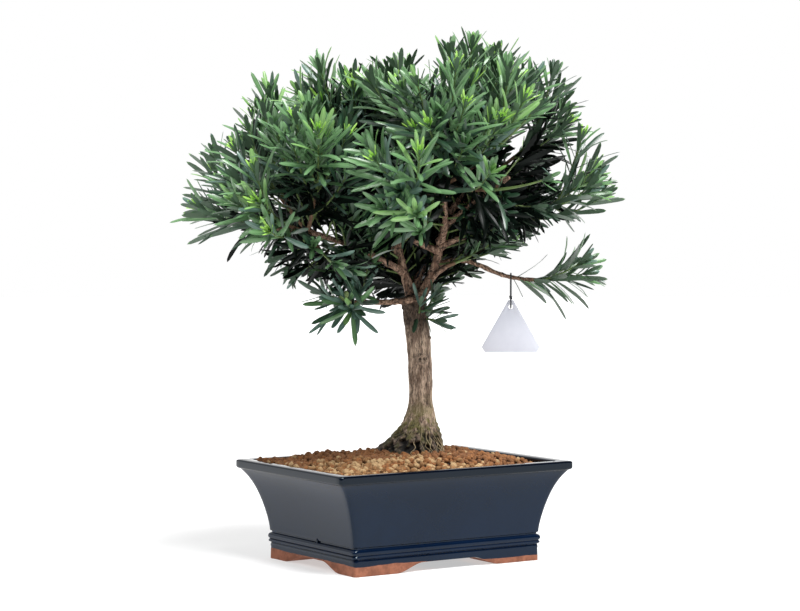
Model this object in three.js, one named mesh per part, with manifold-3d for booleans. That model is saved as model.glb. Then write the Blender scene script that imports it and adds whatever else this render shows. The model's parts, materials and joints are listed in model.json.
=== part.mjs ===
// A podocarpus bonsai in a glazed pot, in millimetres, +Z up, standing on the XY plane.
// The pot's long side runs along X. The plant is laid out in a frame of its own: X to its right as
// seen from its best side, Y to its back, from the pot's middle; one group turns it into place.
import * as THREE from "three";
import { mergeVertices } from "three/addons/utils/BufferGeometryUtils.js";
import Module from "manifold-3d";

const wasm = await Module();
wasm.setup();

// ---- driving dimensions ----

const clearance = 0.3; // between neighbouring solids
const bestSideTurn = 33.3; // degrees from the pot's long side to the plant's best side

const pot = {
  length: 261.5,
  width: 191.5,
  height: 95,
  cornerRadius: 3,
  rimDrop: 8.5, // height of the rim's upright face
  rimTop: 14, // width of the rim's flat top
  rimOverhang: 3, // how far the rim stands out over the wall
  neckInset: 26.5, // at the foot of the flaring wall
  neckHeight: 27.5,
  bandInset: 25,
  bandTop: 24.5,
  bandBottom: 16.5,
  skirtInset: 27,
  widthShare: 0.7, // insets of the short sides as a share of the long sides'
  wall: 8,
  floor: 20, // top of the floor inside
  lipDepth: 14, // the inner face is upright this far down
  innerRadius: 6, // of the inner corners
  edge: 1.6, // the rim's rounding
  footHeight: 8.5,
  footLength: 76,
  footWidth: 58,
  footCurve: 30, // length of the ogee that ends a foot
};

const soil = {
  top: 100, // level ground round the trunk
  edge: 87, // along the pot's wall
  edgeRise: 8, // how much higher it lies on the plant's left
  level: 0.6, // share of the way from the trunk to the wall that lies level
  cell: 17, // between the tops of neighbouring lumps and dips
  dip: 3.2, // depth of the deepest dip between lumps
  smoothNear: 40, // no dips this near to the trunk's middle
  smoothFar: 62, // full dips from here on
};

const soilCells = [pot.length, pot.width].map((side) => Math.round(side / soil.cell));

const trunk = {
  foot: new THREE.Vector3(14, 25.7, soil.top + clearance),
  middle: new THREE.Vector3(20.6, 25.7, 172),
  top: new THREE.Vector3(8.6, 25.7, 254),
  radius: 11,
  forkSwelling: 1, // added to the radius at the fork
  footSwelling: 11, // added to the radius at the ground
  footHeight: 55, // where the foot's swelling starts
  rootHeight: 32, // where the surface roots start
};

// Surface roots: heading in the plant's frame, spread beyond the foot, half width of the ridge in degrees.
const roots = [
  { heading: 168, spread: 20, halfWidth: 26 },
  { heading: 232, spread: 12, halfWidth: 24 },
  { heading: 292, spread: 9, halfWidth: 22 },
  { heading: 340, spread: 2.5, halfWidth: 22 },
  { heading: 50, spread: 9, halfWidth: 26 },
  { heading: 108, spread: 14, halfWidth: 24 },
];

// Each limb leaves its parent at a share of the parent's length. Heading is 0 to the right, 90 to the
// back, 180 to the left and 270 to the front; heading and rise go from start through middle to end.
const limbs = [
  limb("right_leader", "trunk", 0.93, [0, 8, -4], [52, 82, 40], 128, 5.0, 2.6),
  limb("left_leader", "trunk", 0.96, [165, 140, 170], [66, 80, 62], 118, 4.6, 2.6),
  limb("back_right", "trunk", 0.97, [75, 52, 40], [55, 46, 34], 118, 4.4, 2.4),
  limb("low_left", "right_leader", 0.1, [250, 188, 180], [-22, -2, 2], 68, 3.7, 2.3),
  limb("low_right", "right_leader", 0.2, [330, 340, 350], [42, 40, 36], 24, 2.4, 1.9),
  limb("tagged", "right_leader", 0.33, [20, 4, 0], [26, -28, -2], 98, 2.5, 1.9),
  limb("inner_left", "right_leader", 0.45, [205, 190, 205], [12, 30, 46], 54, 3.0, 2.2),
  limb("inner_right", "right_leader", 0.47, [350, 355, 358], [30, 16, 9], 60, 3.0, 2.1),
  limb("front", "right_leader", 0.52, [285, 268, 262], [30, 42, 42], 84, 3.2, 2.2),
  limb("front_right", "right_leader", 0.64, [300, 318, 326], [22, 32, 28], 96, 3.0, 2.2),
  limb("right", "right_leader", 0.82, [15, 8, 2], [12, 24, 22], 82, 2.9, 2.2),
  limb("top", "right_leader", 0.7, [120, 100, 60], [70, 84, 84], 92, 3.0, 2.2),
  limb("front_left", "left_leader", 0.24, [214, 214, 214], [26, 20, 14], 116, 3.3, 2.2),
  limb("left", "left_leader", 0.4, [188, 180, 176], [40, 24, 16], 122, 3.4, 2.3),
  limb("back_left", "left_leader", 0.46, [120, 132, 138], [30, 26, 20], 104, 3.2, 2.2),
  limb("top_left", "left_leader", 0.78, [215, 205, 196], [56, 66, 64], 72, 2.9, 2.2),
  limb("back", "back_right", 0.42, [100, 104, 108], [40, 34, 28], 84, 3.0, 2.2),
];

// The crown is a dome about its own middle. Masses end on it in tiers, and some on reaches of their own.
const crown = {
  middle: new THREE.Vector3(-3, 6, 284),
  radius: 193,
  tilt: 4, // degrees that a mass rises more on the right, and less on the left
};

// A tier's rise is in degrees, its reach a share of the crown's radius, its lean what the right adds.
const tiers = [
  { name: "hanging", count: 3, rise: 3, first: 150, step: 42, reach: 0.55, lean: 0 },
  { name: "skirt", count: 8, rise: 20, first: 0, step: 45, reach: 1.0, lean: 0.02 },
  { name: "shoulder", count: 9, rise: 39, first: 2, step: 40, reach: 1.02, lean: 0.06 },
  { name: "corner", count: 2, rise: 52, first: 0, step: 180, reach: 1.02, lean: 0.02 },
  { name: "upper", count: 6, rise: 64, first: 30, step: 60, reach: 0.94, lean: 0.05 },
  { name: "crest", count: 2, rise: 80, first: 200, step: 180, reach: 0.79, lean: 0.02 },
];

const reaches = [
  { name: "low_left", bough: "low_left", heading: 250, rise: 0, reach: 40 },
  { name: "low_left_outer", bough: "low_left", heading: 172, rise: 12, reach: 34 },
  { name: "low_left_upright", bough: "low_left", heading: 248, rise: 58, reach: 88 },
  { name: "tagged", bough: "tagged", heading: 0, rise: 6, reach: 50 },
  { name: "low_right", bough: "low_right", heading: 352, rise: 30, reach: 52 },
  { name: "inner_left", bough: "inner_left", heading: 235, rise: 62, reach: 70 },
  { name: "trunk_shoot", bough: "trunk", heading: 330, rise: -12, reach: 22 },
];
const trunkShootAt = 0.87; // its share of the trunk's height

const bough = { steps: 6, sides: 6 }; // facets of each limb
const leaf = {
  length: 62,
  width: 12,
  thickness: 1.6,
  spreadLow: 60, // degrees off the shoot at its foot
  spreadHigh: 28, // and near its tip
  spreadTip: 14, // of the last leaf
  room: 4.5, // kept between the middles of a mass's own leaves
  tries: 4,
};
const twig = { stemRadius: 1.7, sideRadius: 0.9, tipRadius: 0.65, sides: 3, stemSteps: 4, sideSteps: 2 };
const goldenTurn = 137.5; // degrees from each leaf or twig to the next

const tag = { width: 56.5, height: 50.5, thickness: 1.2, corner: 5, hole: 4.4, holeDrop: 6.5, hang: 30 };
const tagAt = 0.8; // share of its bough where it hangs
const tie = { radius: 0.7, sides: 5 };

const finish = {
  glaze: new THREE.MeshStandardMaterial({ color: 0x2b3444, roughness: 0.25, metalness: 0 }),
  soil: new THREE.MeshStandardMaterial({ color: 0x9a6a3c, roughness: 0.95, metalness: 0 }),
  bark: new THREE.MeshStandardMaterial({ color: 0x7d6a55, roughness: 0.9, metalness: 0 }),
  leaf: new THREE.MeshStandardMaterial({ color: 0x33553a, roughness: 0.45, metalness: 0 }),
  card: new THREE.MeshStandardMaterial({ color: 0xe6e6ea, roughness: 0.4, metalness: 0 }),
  tie: new THREE.MeshStandardMaterial({ color: 0x26282a, roughness: 0.6, metalness: 0 }),
};

// ---- small helpers ----

function limb(name, parent, at, heading, rise, length, rootRadius, tipRadius) {
  return { name, parent, at, heading, rise, length, rootRadius, tipRadius };
}

function direction(heading, rise) {
  const [h, r] = [THREE.MathUtils.degToRad(heading), THREE.MathUtils.degToRad(rise)];
  return new THREE.Vector3(Math.cos(r) * Math.cos(h), Math.cos(r) * Math.sin(h), Math.sin(r));
}

// A small generator whose draws are the same on every run.
function makeRandom(seed) {
  let state = seed;
  return (low = 0, high = 1) => {
    state = (state * 16807) % 2147483647;
    return low + ((high - low) * state) / 2147483647;
  };
}

// Between three even stops: start at 0, middle at one half, end at 1.
function threeStops([start, middle, end], t) {
  return t < 0.5 ? start + (middle - start) * 2 * t : middle + (end - middle) * (2 * t - 1);
}

function toSolid(geometry) {
  const loose = geometry.index ? geometry.toNonIndexed() : geometry;
  const bare = new THREE.BufferGeometry().setAttribute("position", loose.getAttribute("position"));
  const merged = mergeVertices(bare, 1e-4);
  const vertProperties = merged.getAttribute("position").array;
  const triVerts = new Uint32Array(merged.index.array);
  return new wasm.Manifold(new wasm.Mesh({ numProp: 3, vertProperties, triVerts }));
}

function toGeometry(solid) {
  const mesh = solid.getMesh();
  const geometry = new THREE.BufferGeometry();
  geometry.setAttribute("position", new THREE.BufferAttribute(mesh.vertProperties, 3));
  geometry.setIndex(new THREE.BufferAttribute(mesh.triVerts, 1));
  geometry.computeVertexNormals();
  return geometry;
}

// The outer shell of the largest body: loose scraps are dropped and sealed hollows filled.
function mainBody(solid) {
  return solid.decompose().reduce((best, body) => (body.volume() > best.volume() ? body : best));
}

// A closed skin through rings of equal count, with a fan over each end.
function loft(rings) {
  const count = rings[0].length;
  const middleOf = (ring) => ring.reduce((sum, p) => sum.add(p), new THREE.Vector3()).divideScalar(count);
  const points = [...rings.flat(), middleOf(rings[0]), middleOf(rings.at(-1))];
  const [first, last] = [points.length - 2, points.length - 1];
  const index = [];
  for (let side = 0; side < count; side++) {
    const next = (side + 1) % count;
    for (let row = 0; row + 1 < rings.length; row++) {
      const [a, b] = [row * count + side, row * count + next];
      index.push(a, b, b + count, a, b + count, a + count);
    }
    const top = (rings.length - 1) * count;
    index.push(first, next, side, last, top + side, top + next);
  }
  return new THREE.BufferGeometry().setFromPoints(points).setIndex(index);
}

// A tapering tube along a curve. The frame is carried from ring to ring, so the tube never twists.
function tube(curve, steps, sides, radiusAt) {
  const axis = curve.getTangentAt(0);
  let across = new THREE.Vector3(0, 0, 1).cross(axis);
  if (across.length() < 0.2) across = new THREE.Vector3(1, 0, 0).cross(axis);
  const rings = [];
  for (let i = 0; i <= steps; i++) {
    const t = i / steps;
    const tangent = curve.getTangentAt(t);
    across.addScaledVector(tangent, -across.dot(tangent)).normalize();
    const up = tangent.clone().cross(across);
    const centre = curve.getPointAt(t);
    const ring = [];
    for (let side = 0; side < sides; side++) {
      const turn = (side / sides) * 2 * Math.PI;
      const out = across.clone().multiplyScalar(Math.cos(turn)).addScaledVector(up, Math.sin(turn));
      ring.push(centre.clone().addScaledVector(out, radiusAt(t)));
    }
    rings.push(ring);
  }
  return loft(rings);
}

// ---- pot and soil ----

// A rectangle with round corners, inset from the rim's outline.
function potOutline(inset, z, radius = pot.cornerRadius) {
  const halfLength = pot.length / 2 - inset - radius;
  const halfWidth = pot.width / 2 - inset * pot.widthShare - radius;
  const corners = [[1, 1], [-1, 1], [-1, -1], [1, -1]];
  return corners.flatMap(([x, y], quarter) => {
    const start = (quarter * Math.PI) / 2;
    const end = start + Math.PI / 2;
    const arc = new THREE.EllipseCurve(x * halfLength, y * halfWidth, radius, radius, start, end);
    return arc.getPoints(2).map((p) => new THREE.Vector3(p.x, p.y, z));
  });
}

// The wall flares slowly from the neck, then quickly under the rim.
function flareShare(t) {
  return 0.75 * Math.pow(t, 1.4) + 0.25 * Math.pow(t, 6);
}

function potWallInset(z) {
  const t = (z - pot.neckHeight) / (pot.height - pot.rimDrop - pot.neckHeight);
  return pot.neckInset - (pot.neckInset - pot.rimOverhang) * flareShare(t);
}

function potBody() {
  const wallTop = pot.height - pot.rimDrop;
  const edge = pot.edge;
  const rings = [
    potOutline(pot.skirtInset, 0),
    potOutline(pot.skirtInset, pot.bandBottom - 1.5),
    potOutline(pot.bandInset + 0.7, pot.bandBottom),
    potOutline(pot.bandInset, pot.bandBottom + 2),
    potOutline(pot.bandInset, pot.bandTop - 1),
    potOutline(pot.bandInset + 1, pot.bandTop),
    potOutline(pot.neckInset + 0.8, pot.bandTop + 0.6),
  ];
  const steps = 5;
  for (let i = 0; i <= steps; i++) {
    const z = pot.neckHeight + ((wallTop - pot.neckHeight) * i) / steps;
    rings.push(potOutline(potWallInset(z), z));
  }
  rings.push(potOutline(edge * 0.3, wallTop + 0.8));
  rings.push(potOutline(0, wallTop + edge));
  rings.push(potOutline(0, pot.height - edge));
  rings.push(potOutline(edge * 0.3, pot.height - edge * 0.3));
  rings.push(potOutline(edge, pot.height));
  return toSolid(loft(rings));
}

// The space inside the pot, open at its top.
function potInside(gap, top) {
  return toSolid(loft([...innerRings(gap), potOutline(pot.rimTop + gap, top, pot.innerRadius)]));
}

// The inner face up to where it stands upright.
function innerRings(gap) {
  const straight = pot.height - pot.lipDepth;
  const bottomInset = pot.neckInset + pot.wall;
  const bulge = 2; // the wall's hollow outer face pushes the inner one in at mid height
  return [
    potOutline(bottomInset + gap, pot.floor + gap, pot.innerRadius),
    potOutline((bottomInset + pot.rimTop) / 2 + bulge + gap, (pot.floor + straight) / 2, pot.innerRadius),
    potOutline(pot.rimTop + gap, straight, pot.innerRadius),
  ];
}

// The hollow under one pair of sides: flat in the middle, with an ogee down to each foot.
function footArch(span, footLength, depth) {
  const flatHalf = span / 2 - footLength;
  const shape = new THREE.Shape();
  const footEnd = flatHalf + pot.footCurve;
  shape.moveTo(-footEnd, -1);
  shape.lineTo(footEnd, -1);
  shape.lineTo(footEnd, 0);
  const [low, high] = [footEnd - pot.footCurve * 0.5, flatHalf + 6];
  shape.bezierCurveTo(low, 0, high, pot.footHeight, flatHalf, pot.footHeight);
  shape.lineTo(-flatHalf, pot.footHeight);
  shape.bezierCurveTo(-high, pot.footHeight, -low, 0, -footEnd, 0);
  const geometry = new THREE.ExtrudeGeometry(shape, { depth, bevelEnabled: false, curveSegments: 6 });
  return geometry.translate(0, 0, -depth / 2).rotateX(Math.PI / 2);
}

function potSolid() {
  const footSpan = pot.length - 2 * pot.skirtInset;
  const footDepth = pot.width - 2 * pot.skirtInset * pot.widthShare;
  const underLong = toSolid(footArch(footSpan, pot.footLength, pot.width));
  const underShort = toSolid(footArch(footDepth, pot.footWidth, pot.length).rotateZ(Math.PI / 2));
  return potBody().subtract(potInside(0, pot.height + 1)).subtract(underLong).subtract(underShort);
}

// Level about the trunk, falling to the wall, and higher on the plant's left.
function soilHeight(x, y) {
  const middle = plantToPot(trunk.foot);
  const leftward = plantToPot(direction(180, 0));
  const toWall = (place, start, half) => (place - start) / (place > start ? half - start : -half - start);
  const acrossX = toWall(x, middle.x, pot.length / 2 - pot.rimTop);
  const acrossY = toWall(y, middle.y, pot.width / 2 - pot.rimTop * pot.widthShare);
  const past = Math.max(0, Math.max(acrossX, acrossY) - soil.level) / (1 - soil.level);
  const left = Math.max(0, x * leftward.x + y * leftward.y) / (pot.length / 2);
  const away = Math.hypot(x - middle.x, y - middle.y);
  const dip = soil.dip * THREE.MathUtils.smoothstep(away, soil.smoothNear, soil.smoothFar);
  const [i, j] = [(x / pot.length + 0.5) * soilCells[0], (y / pot.width + 0.5) * soilCells[1]].map(Math.round);
  return soil.top - (soil.top - soil.edge - soil.edgeRise * left) * past - dip * scatter(i, j);
}

// A share from 0 to 1 that jumps about from one cell to the next.
function scatter(i, j) {
  const wave = Math.sin(i * 12.9898 + j * 78.233) * 43758.5453;
  return wave - Math.floor(wave);
}

// A bed with shallow dips between its lumps, cut to the pot's inside.
function soilSolid() {
  const bed = new THREE.BoxGeometry(pot.length, pot.width, 2, ...soilCells, 1);
  const places = bed.getAttribute("position");
  for (let i = 0; i < places.count; i++) {
    places.setZ(i, places.getZ(i) > 0 ? soilHeight(places.getX(i), places.getY(i)) : 0);
  }
  return toSolid(bed).intersect(potInside(clearance, soil.top + 10));
}

function plantToPot(point) {
  return point.clone().applyAxisAngle(new THREE.Vector3(0, 0, 1), THREE.MathUtils.degToRad(-bestSideTurn));
}

// ---- trunk and boughs ----

const trunkPath = new THREE.QuadraticBezierCurve3(trunk.foot, trunk.middle, trunk.top);

// How far the foot and its surface roots stand out beyond the trunk's own radius.
function rootFlare(heading, height) {
  const swelling = trunk.footSwelling * (1 - THREE.MathUtils.smoothstep(height, 0, trunk.footHeight));
  const down = Math.max(0, 1 - height / trunk.rootHeight);
  return roots.reduce((sum, root) => {
    const off = Math.abs(((heading - root.heading + 540) % 360) - 180) / root.halfWidth;
    return sum + root.spread * Math.exp(-off * off) * Math.pow(down, 1.5);
  }, swelling);
}

// The trunk stands on a flat cut, spreads into its surface roots and ends in a blunt dome at the fork.
function trunkSolid(grow) {
  const sides = 16;
  const tall = trunk.top.z - trunk.foot.z;
  const domeHeight = 10;
  const heights = [0, 4, 9, 15, 22, 30, 40, 54, 80, 110, tall - domeHeight, tall - 4, tall - 0.6];
  const rings = heights.map((height, row) => {
    const share = height / tall;
    const intoDome = Math.max(0, (height - tall + domeHeight) / domeHeight);
    const body = (trunk.radius + trunk.forkSwelling * share) * Math.sqrt(1 - intoDome * intoDome);
    const centre = trunkPath.getPoint(share);
    centre.z = trunk.foot.z + height + (row === 0 ? -grow : 0) + (row === heights.length - 1 ? grow : 0);
    return Array.from({ length: sides }, (_, side) => {
      const heading = (side / sides) * 360;
      const radius = body + rootFlare(heading, height) + grow;
      return direction(heading, 0).multiplyScalar(radius).add(centre);
    });
  });
  return toSolid(loft(rings));
}

// A limb's path turns evenly through its headings and rises, in steps of equal length.
function limbPath(spec, start) {
  const steps = 8;
  const points = [start.clone()];
  for (let i = 0; i < steps; i++) {
    const t = (i + 0.5) / steps;
    const along = direction(threeStops(spec.heading, t), threeStops(spec.rise, t));
    points.push(points[i].clone().addScaledVector(along, spec.length / steps));
  }
  return new THREE.CatmullRomCurve3(points);
}

const paths = { trunk: trunkPath };
for (const spec of limbs) {
  paths[spec.name] = limbPath(spec, paths[spec.parent].getPoint(spec.at));
}

function limbSolid(spec, grow) {
  const radiusAt = (t) => spec.rootRadius + (spec.tipRadius - spec.rootRadius) * Math.pow(t, 0.8) + grow;
  return toSolid(tube(paths[spec.name], bough.steps, bough.sides, radiusAt));
}

// ---- foliage masses ----

// Every mass has a start on its bough and an end on the crown or at its own reach.
function layOutMasses() {
  const tips = limbs.map((spec) => ({ name: spec.name, point: paths[spec.name].getPoint(1) }));
  const open = tips.filter((tip) => !["tagged", "low_left", "low_right", "inner_left"].includes(tip.name));
  const masses = tiers.flatMap((tier) => {
    return Array.from({ length: tier.count }, (_, i) => {
      const heading = tier.first + i * tier.step;
      const rise = tier.rise + crown.tilt * Math.cos(THREE.MathUtils.degToRad(heading));
      const out = direction(heading, rise);
      const reach = crown.radius * (tier.reach + tier.lean * Math.sign(out.x));
      const end = crown.middle.clone().addScaledVector(out, reach);
      const inward = crown.middle.clone().addScaledVector(out, crown.radius * 0.5);
      const nearer = (a, b) => (a.point.distanceTo(inward) < b.point.distanceTo(inward) ? a : b);
      const nearest = open.reduce(nearer);
      return { name: `${tier.name}_${i + 1}`, bough: nearest.name, start: nearest.point, end };
    });
  });
  for (const own of reaches) {
    const onTrunk = own.bough === "trunk";
    const start = onTrunk ? trunkPath.getPoint(trunkShootAt) : paths[own.bough].getPoint(1);
    const end = start.clone().addScaledVector(direction(own.heading, own.rise), own.reach);
    masses.push({ name: own.name, bough: own.bough, start, end });
  }
  return masses;
}

const masses = layOutMasses();

// A shoot is a curve that its tube follows in a few straight steps.
function shoot(curve, steps) {
  const pointOn = (t) => {
    const step = Math.min(steps - 1, Math.floor(t * steps));
    return curve.getPointAt(step / steps).lerp(curve.getPointAt((step + 1) / steps), t * steps - step);
  };
  return { curve, steps, pointOn };
}

// A stem leaves its bough's tip a little apart from its fellows and sweeps up to its end.
function stemPath(mass) {
  const chord = mass.end.clone().sub(mass.start);
  const length = chord.length();
  const boughEnd = mass.bough === "trunk" ? chord.clone() : paths[mass.bough].getTangent(1);
  const aside = chord.clone().normalize();
  aside.addScaledVector(boughEnd, -aside.dot(boughEnd) / boughEnd.lengthSq()).normalize();
  const start = mass.start.clone().addScaledVector(aside, mass.bough === "trunk" ? 0 : 1.3);
  const bend = start.clone().addScaledVector(chord, 0.5);
  bend.z -= length * 0.1;
  return shoot(new THREE.QuadraticBezierCurve3(start, bend, mass.end), twig.stemSteps);
}

masses.forEach((mass, i) => {
  mass.seed = 7001 + 131 * i;
  mass.stem = stemPath(mass);
  mass.length = mass.stem.curve.getLength();
  mass.middle = mass.stem.pointOn(0.62);
  mass.taken = [];
});

// A mass keeps to its own space: the points nearer to its middle than to any other mass's middle.
function inOwnSpace(mass, point) {
  return masses.every((other) => {
    if (other === mass) return true;
    const away = mass.middle.clone().sub(other.middle).normalize();
    const halfway = mass.middle.clone().add(other.middle).multiplyScalar(0.5);
    return point.clone().sub(halfway).dot(away) > clearance;
  });
}

// Thin spans of every limb and stem, as points with the room that a leaf has to leave round them.
function spansOf(pointOn, count, radiusAt, owner) {
  return Array.from({ length: count + 1 }, (_, i) => {
    return { point: pointOn(i / count), room: radiusAt(i / count) + 1.2, owner };
  });
}

const trunkRoom = (t) => trunk.radius + 3 + 24 * Math.max(0, 0.3 - t);
const obstacles = [
  ...spansOf((t) => trunkPath.getPoint(t), 60, trunkRoom, "trunk"),
  ...limbs.flatMap((spec) => {
    return spansOf(shoot(paths[spec.name], bough.steps).pointOn, 50, () => spec.rootRadius, spec.name);
  }),
  ...masses.flatMap((mass) => spansOf(mass.stem.pointOn, 60, () => twig.stemRadius, mass.name)),
];

function clearOfLimbs(mass, point) {
  return obstacles.every((o) => o.owner === mass.name || o.point.distanceTo(point) > o.room);
}

function fits(mass, points) {
  return points.every((point) => inOwnSpace(mass, point) && clearOfLimbs(mass, point));
}

// A leaf's frame on a shoot: along the blade, its upper face towards the shoot's tip.
function leafFrame(on, t, turn, spread) {
  const tangent = on.curve.getTangentAt(t);
  const level = Math.abs(tangent.z) < 0.95 ? new THREE.Vector3(0, 0, 1) : new THREE.Vector3(1, 0, 0);
  const side = level.cross(tangent).normalize();
  const out = side.applyAxisAngle(tangent, THREE.MathUtils.degToRad(turn));
  const along = tangent.clone().multiplyScalar(Math.cos(THREE.MathUtils.degToRad(spread)));
  along.addScaledVector(out, Math.sin(THREE.MathUtils.degToRad(spread)));
  const face = tangent.clone().addScaledVector(along, -tangent.dot(along)).normalize();
  return { root: on.pointOn(t), along, face, across: along.clone().cross(face) };
}

function leafSolid(frame, length) {
  const blade = new THREE.OctahedronGeometry(1).scale(leaf.width / 2, length / 2, leaf.thickness / 2);
  blade.translate(0, length / 2, 0);
  const turn = new THREE.Matrix4().makeBasis(frame.across, frame.along, frame.face);
  return toSolid(blade.applyMatrix4(turn.setPosition(frame.root)));
}

function clearOfLeaves(mass, points) {
  return points.every((point) => mass.taken.every((other) => other.distanceTo(point) > leaf.room));
}

// Leaves in a spiral along a shoot, closing forward at its tip. One that doesn't fit is tried a little
// further round and shorter, and is skipped where no place is free.
function leavesOn(mass, on, count, from, random, size) {
  const made = [];
  const firstTurn = random(0, 360);
  for (let i = 0; i < count; i++) {
    const atTip = i === count - 1;
    const t = from + ((0.97 - from) * i) / (count - 1);
    const spread = atTip ? leaf.spreadTip : THREE.MathUtils.lerp(leaf.spreadLow, leaf.spreadHigh, t);
    const fullLength = leaf.length * size * random(0.9, 1.08) * (atTip ? 0.75 : 1);
    for (let turned = 0; turned < leaf.tries; turned++) {
      const length = fullLength * (1 - 0.09 * turned);
      const frame = leafFrame(on, t, firstTurn + goldenTurn * i + 50 * turned, spread);
      const at = (share, aside = 0) => frame.root.clone()
        .addScaledVector(frame.along, length * share)
        .addScaledVector(frame.across, (leaf.width / 2) * aside);
      const middle = [0.15, 0.3, 0.45, 0.6, 0.75, 0.98].map((share) => at(share));
      if (!fits(mass, [...middle, at(0.5, 1), at(0.5, -1)]) || !clearOfLeaves(mass, middle)) continue;
      mass.taken.push(...middle);
      made.push(leafSolid(frame, length));
      break;
    }
  }
  return made;
}

// Side twigs leave the stem in a spiral and turn up towards their tips.
function sideTwigs(mass, random) {
  const count = Math.round(mass.length / 34);
  const made = [];
  for (let i = 0; i < count; i++) {
    const t = 0.2 + (0.55 * i) / count;
    const frame = leafFrame(mass.stem, t, random(0, 90) + goldenTurn * i, random(42, 54));
    const length = mass.length * 0.62 * (1 - 0.55 * t) * random(0.85, 1.05);
    const bend = frame.root.clone().addScaledVector(frame.along, length * 0.55);
    const end = frame.root.clone().addScaledVector(frame.along, length);
    end.z += length * 0.16;
    const side = shoot(new THREE.QuadraticBezierCurve3(frame.root, bend, end), twig.sideSteps);
    if (fits(mass, [0.3, 0.5, 0.7, 0.85, 1].map(side.pointOn))) made.push(side);
  }
  return made;
}

function shootSolid(on, rootRadius, grow) {
  const taper = (t) => rootRadius + (twig.tipRadius - rootRadius) * t + grow;
  return toSolid(tube(on.curve, on.steps, twig.sides, taper));
}

function massSolid(mass) {
  const random = makeRandom(mass.seed);
  const twigs = sideTwigs(mass, random);
  const pieces = [shootSolid(mass.stem, twig.stemRadius, 0)];
  pieces.push(...twigs.map((side) => shootSolid(side, twig.sideRadius, 0)));
  const onStem = Math.max(5, Math.round(mass.length / 19.5));
  const size = mass.length < 40 ? 0.55 : 1;
  pieces.push(...leavesOn(mass, mass.stem, onStem, mass.length < 70 ? 0.3 : 0.42, random, size));
  for (const side of twigs) pieces.push(...leavesOn(mass, side, 4, 0.4, random, size));
  return wasm.Manifold.union(pieces);
}

// ---- tag ----

// A bare card of three sides with its corners cut, hung on a loop of tie.
function tagSolid() {
  const { width, height, corner } = tag;
  const shape = new THREE.Shape();
  shape.moveTo(-corner / 2, 0);
  shape.lineTo(-width / 2, -height + corner);
  shape.lineTo(-width / 2 + corner * 0.6, -height);
  shape.lineTo(width / 2 - corner * 0.6, -height);
  shape.lineTo(width / 2, -height + corner);
  shape.lineTo(corner / 2, 0);
  const hole = new THREE.Path().absarc(0, -tag.holeDrop, tag.hole / 2, 0, 2 * Math.PI);
  shape.holes.push(hole);
  const depth = tag.thickness;
  const card = new THREE.ExtrudeGeometry(shape, { depth, bevelEnabled: false, curveSegments: 10 });
  return card.translate(0, 0, -tag.thickness / 2).rotateX(Math.PI / 2);
}

const tagHang = paths.tagged.getPoint(tagAt);
const tagBough = limbs.find((spec) => spec.name === "tagged");

// A closed loop over the bough and through the card's hole.
function tieSolid() {
  const half = tagBough.rootRadius + clearance + tie.radius;
  const top = tagHang.z + half;
  const bottom = tagHang.z - tag.hang;
  const steps = 16;
  const rings = [];
  for (let i = 0; i < steps; i++) {
    const turn = (i / steps) * 2 * Math.PI;
    const up = Math.sin(turn);
    const centreZ = up > 0 ? top - half : bottom + half;
    const width = up > 0 ? half : half * 0.9;
    const centre = new THREE.Vector3(tagHang.x, tagHang.y + width * Math.cos(turn), centreZ + half * up);
    const outward = new THREE.Vector3(0, Math.cos(turn), Math.sin(turn));
    rings.push(Array.from({ length: tie.sides }, (_, side) => {
      const a = (side / tie.sides) * 2 * Math.PI;
      return centre.clone()
        .addScaledVector(outward, tie.radius * Math.cos(a))
        .addScaledVector(new THREE.Vector3(1, 0, 0), tie.radius * Math.sin(a));
    }));
  }
  return closedLoop(rings);
}

// A tube whose last ring joins its first.
function closedLoop(rings) {
  const count = rings[0].length;
  const index = [];
  rings.forEach((_, row) => {
    const next = (row + 1) % rings.length;
    for (let side = 0; side < count; side++) {
      const beside = (side + 1) % count;
      const [a, b] = [row * count + side, row * count + beside];
      const [c, d] = [next * count + beside, next * count + side];
      index.push(a, c, b, a, d, c);
    }
  });
  return new THREE.BufferGeometry().setFromPoints(rings.flat()).setIndex(index);
}

// ---- assembly ----

function named(name, geometry, material) {
  const mesh = new THREE.Mesh(geometry, material);
  mesh.name = name;
  return mesh;
}

const bonsai = new THREE.Group();
const plant = new THREE.Group();
plant.rotation.z = THREE.MathUtils.degToRad(-bestSideTurn);
bonsai.add(plant);

bonsai.add(named("pot", toGeometry(potSolid()), finish.glaze));
bonsai.add(named("soil", toGeometry(soilSolid()), finish.soil));
plant.add(named("trunk", toGeometry(trunkSolid(0)), finish.bark));

// Each bough is cut clear of the trunk and of the boughs made before it.
const roomFor = { trunk: trunkSolid(clearance) };
for (const spec of limbs) {
  const taken = wasm.Manifold.union(Object.values(roomFor));
  const solid = mainBody(limbSolid(spec, 0).subtract(taken));
  plant.add(named(`bough_${spec.name}`, toGeometry(solid), finish.bark));
  roomFor[spec.name] = limbSolid(spec, clearance);
}

const stemRoom = (mass) => shootSolid(mass.stem, twig.stemRadius, clearance);

// Each mass is cut clear of its bough and of the stems that start beside its own.
masses.forEach((mass, i) => {
  const fellows = masses.slice(0, i).filter((other) => other.bough === mass.bough);
  const taken = wasm.Manifold.union([roomFor[mass.bough], ...fellows.map(stemRoom)]);
  const foliage = mainBody(massSolid(mass).subtract(taken));
  plant.add(named(`foliage_${mass.name}`, toGeometry(foliage), finish.leaf));
});

const card = named("tag", tagSolid(), finish.card);
card.position.set(tagHang.x, tagHang.y, tagHang.z - tag.hang + tie.radius * 2 + tag.holeDrop - 0.2);
plant.add(card);
plant.add(named("tag_tie", tieSolid(), finish.tie));

// The origin lies on the ground under the middle of the whole plant.
const middle = new THREE.Box3().setFromObject(bonsai, true).getCenter(new THREE.Vector3());
bonsai.position.set(-middle.x, -middle.y, 0);

export default bonsai;
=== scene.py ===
import json
import math

import bmesh
import bpy
import numpy as np
from mathutils import Matrix, Vector, noise

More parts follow.
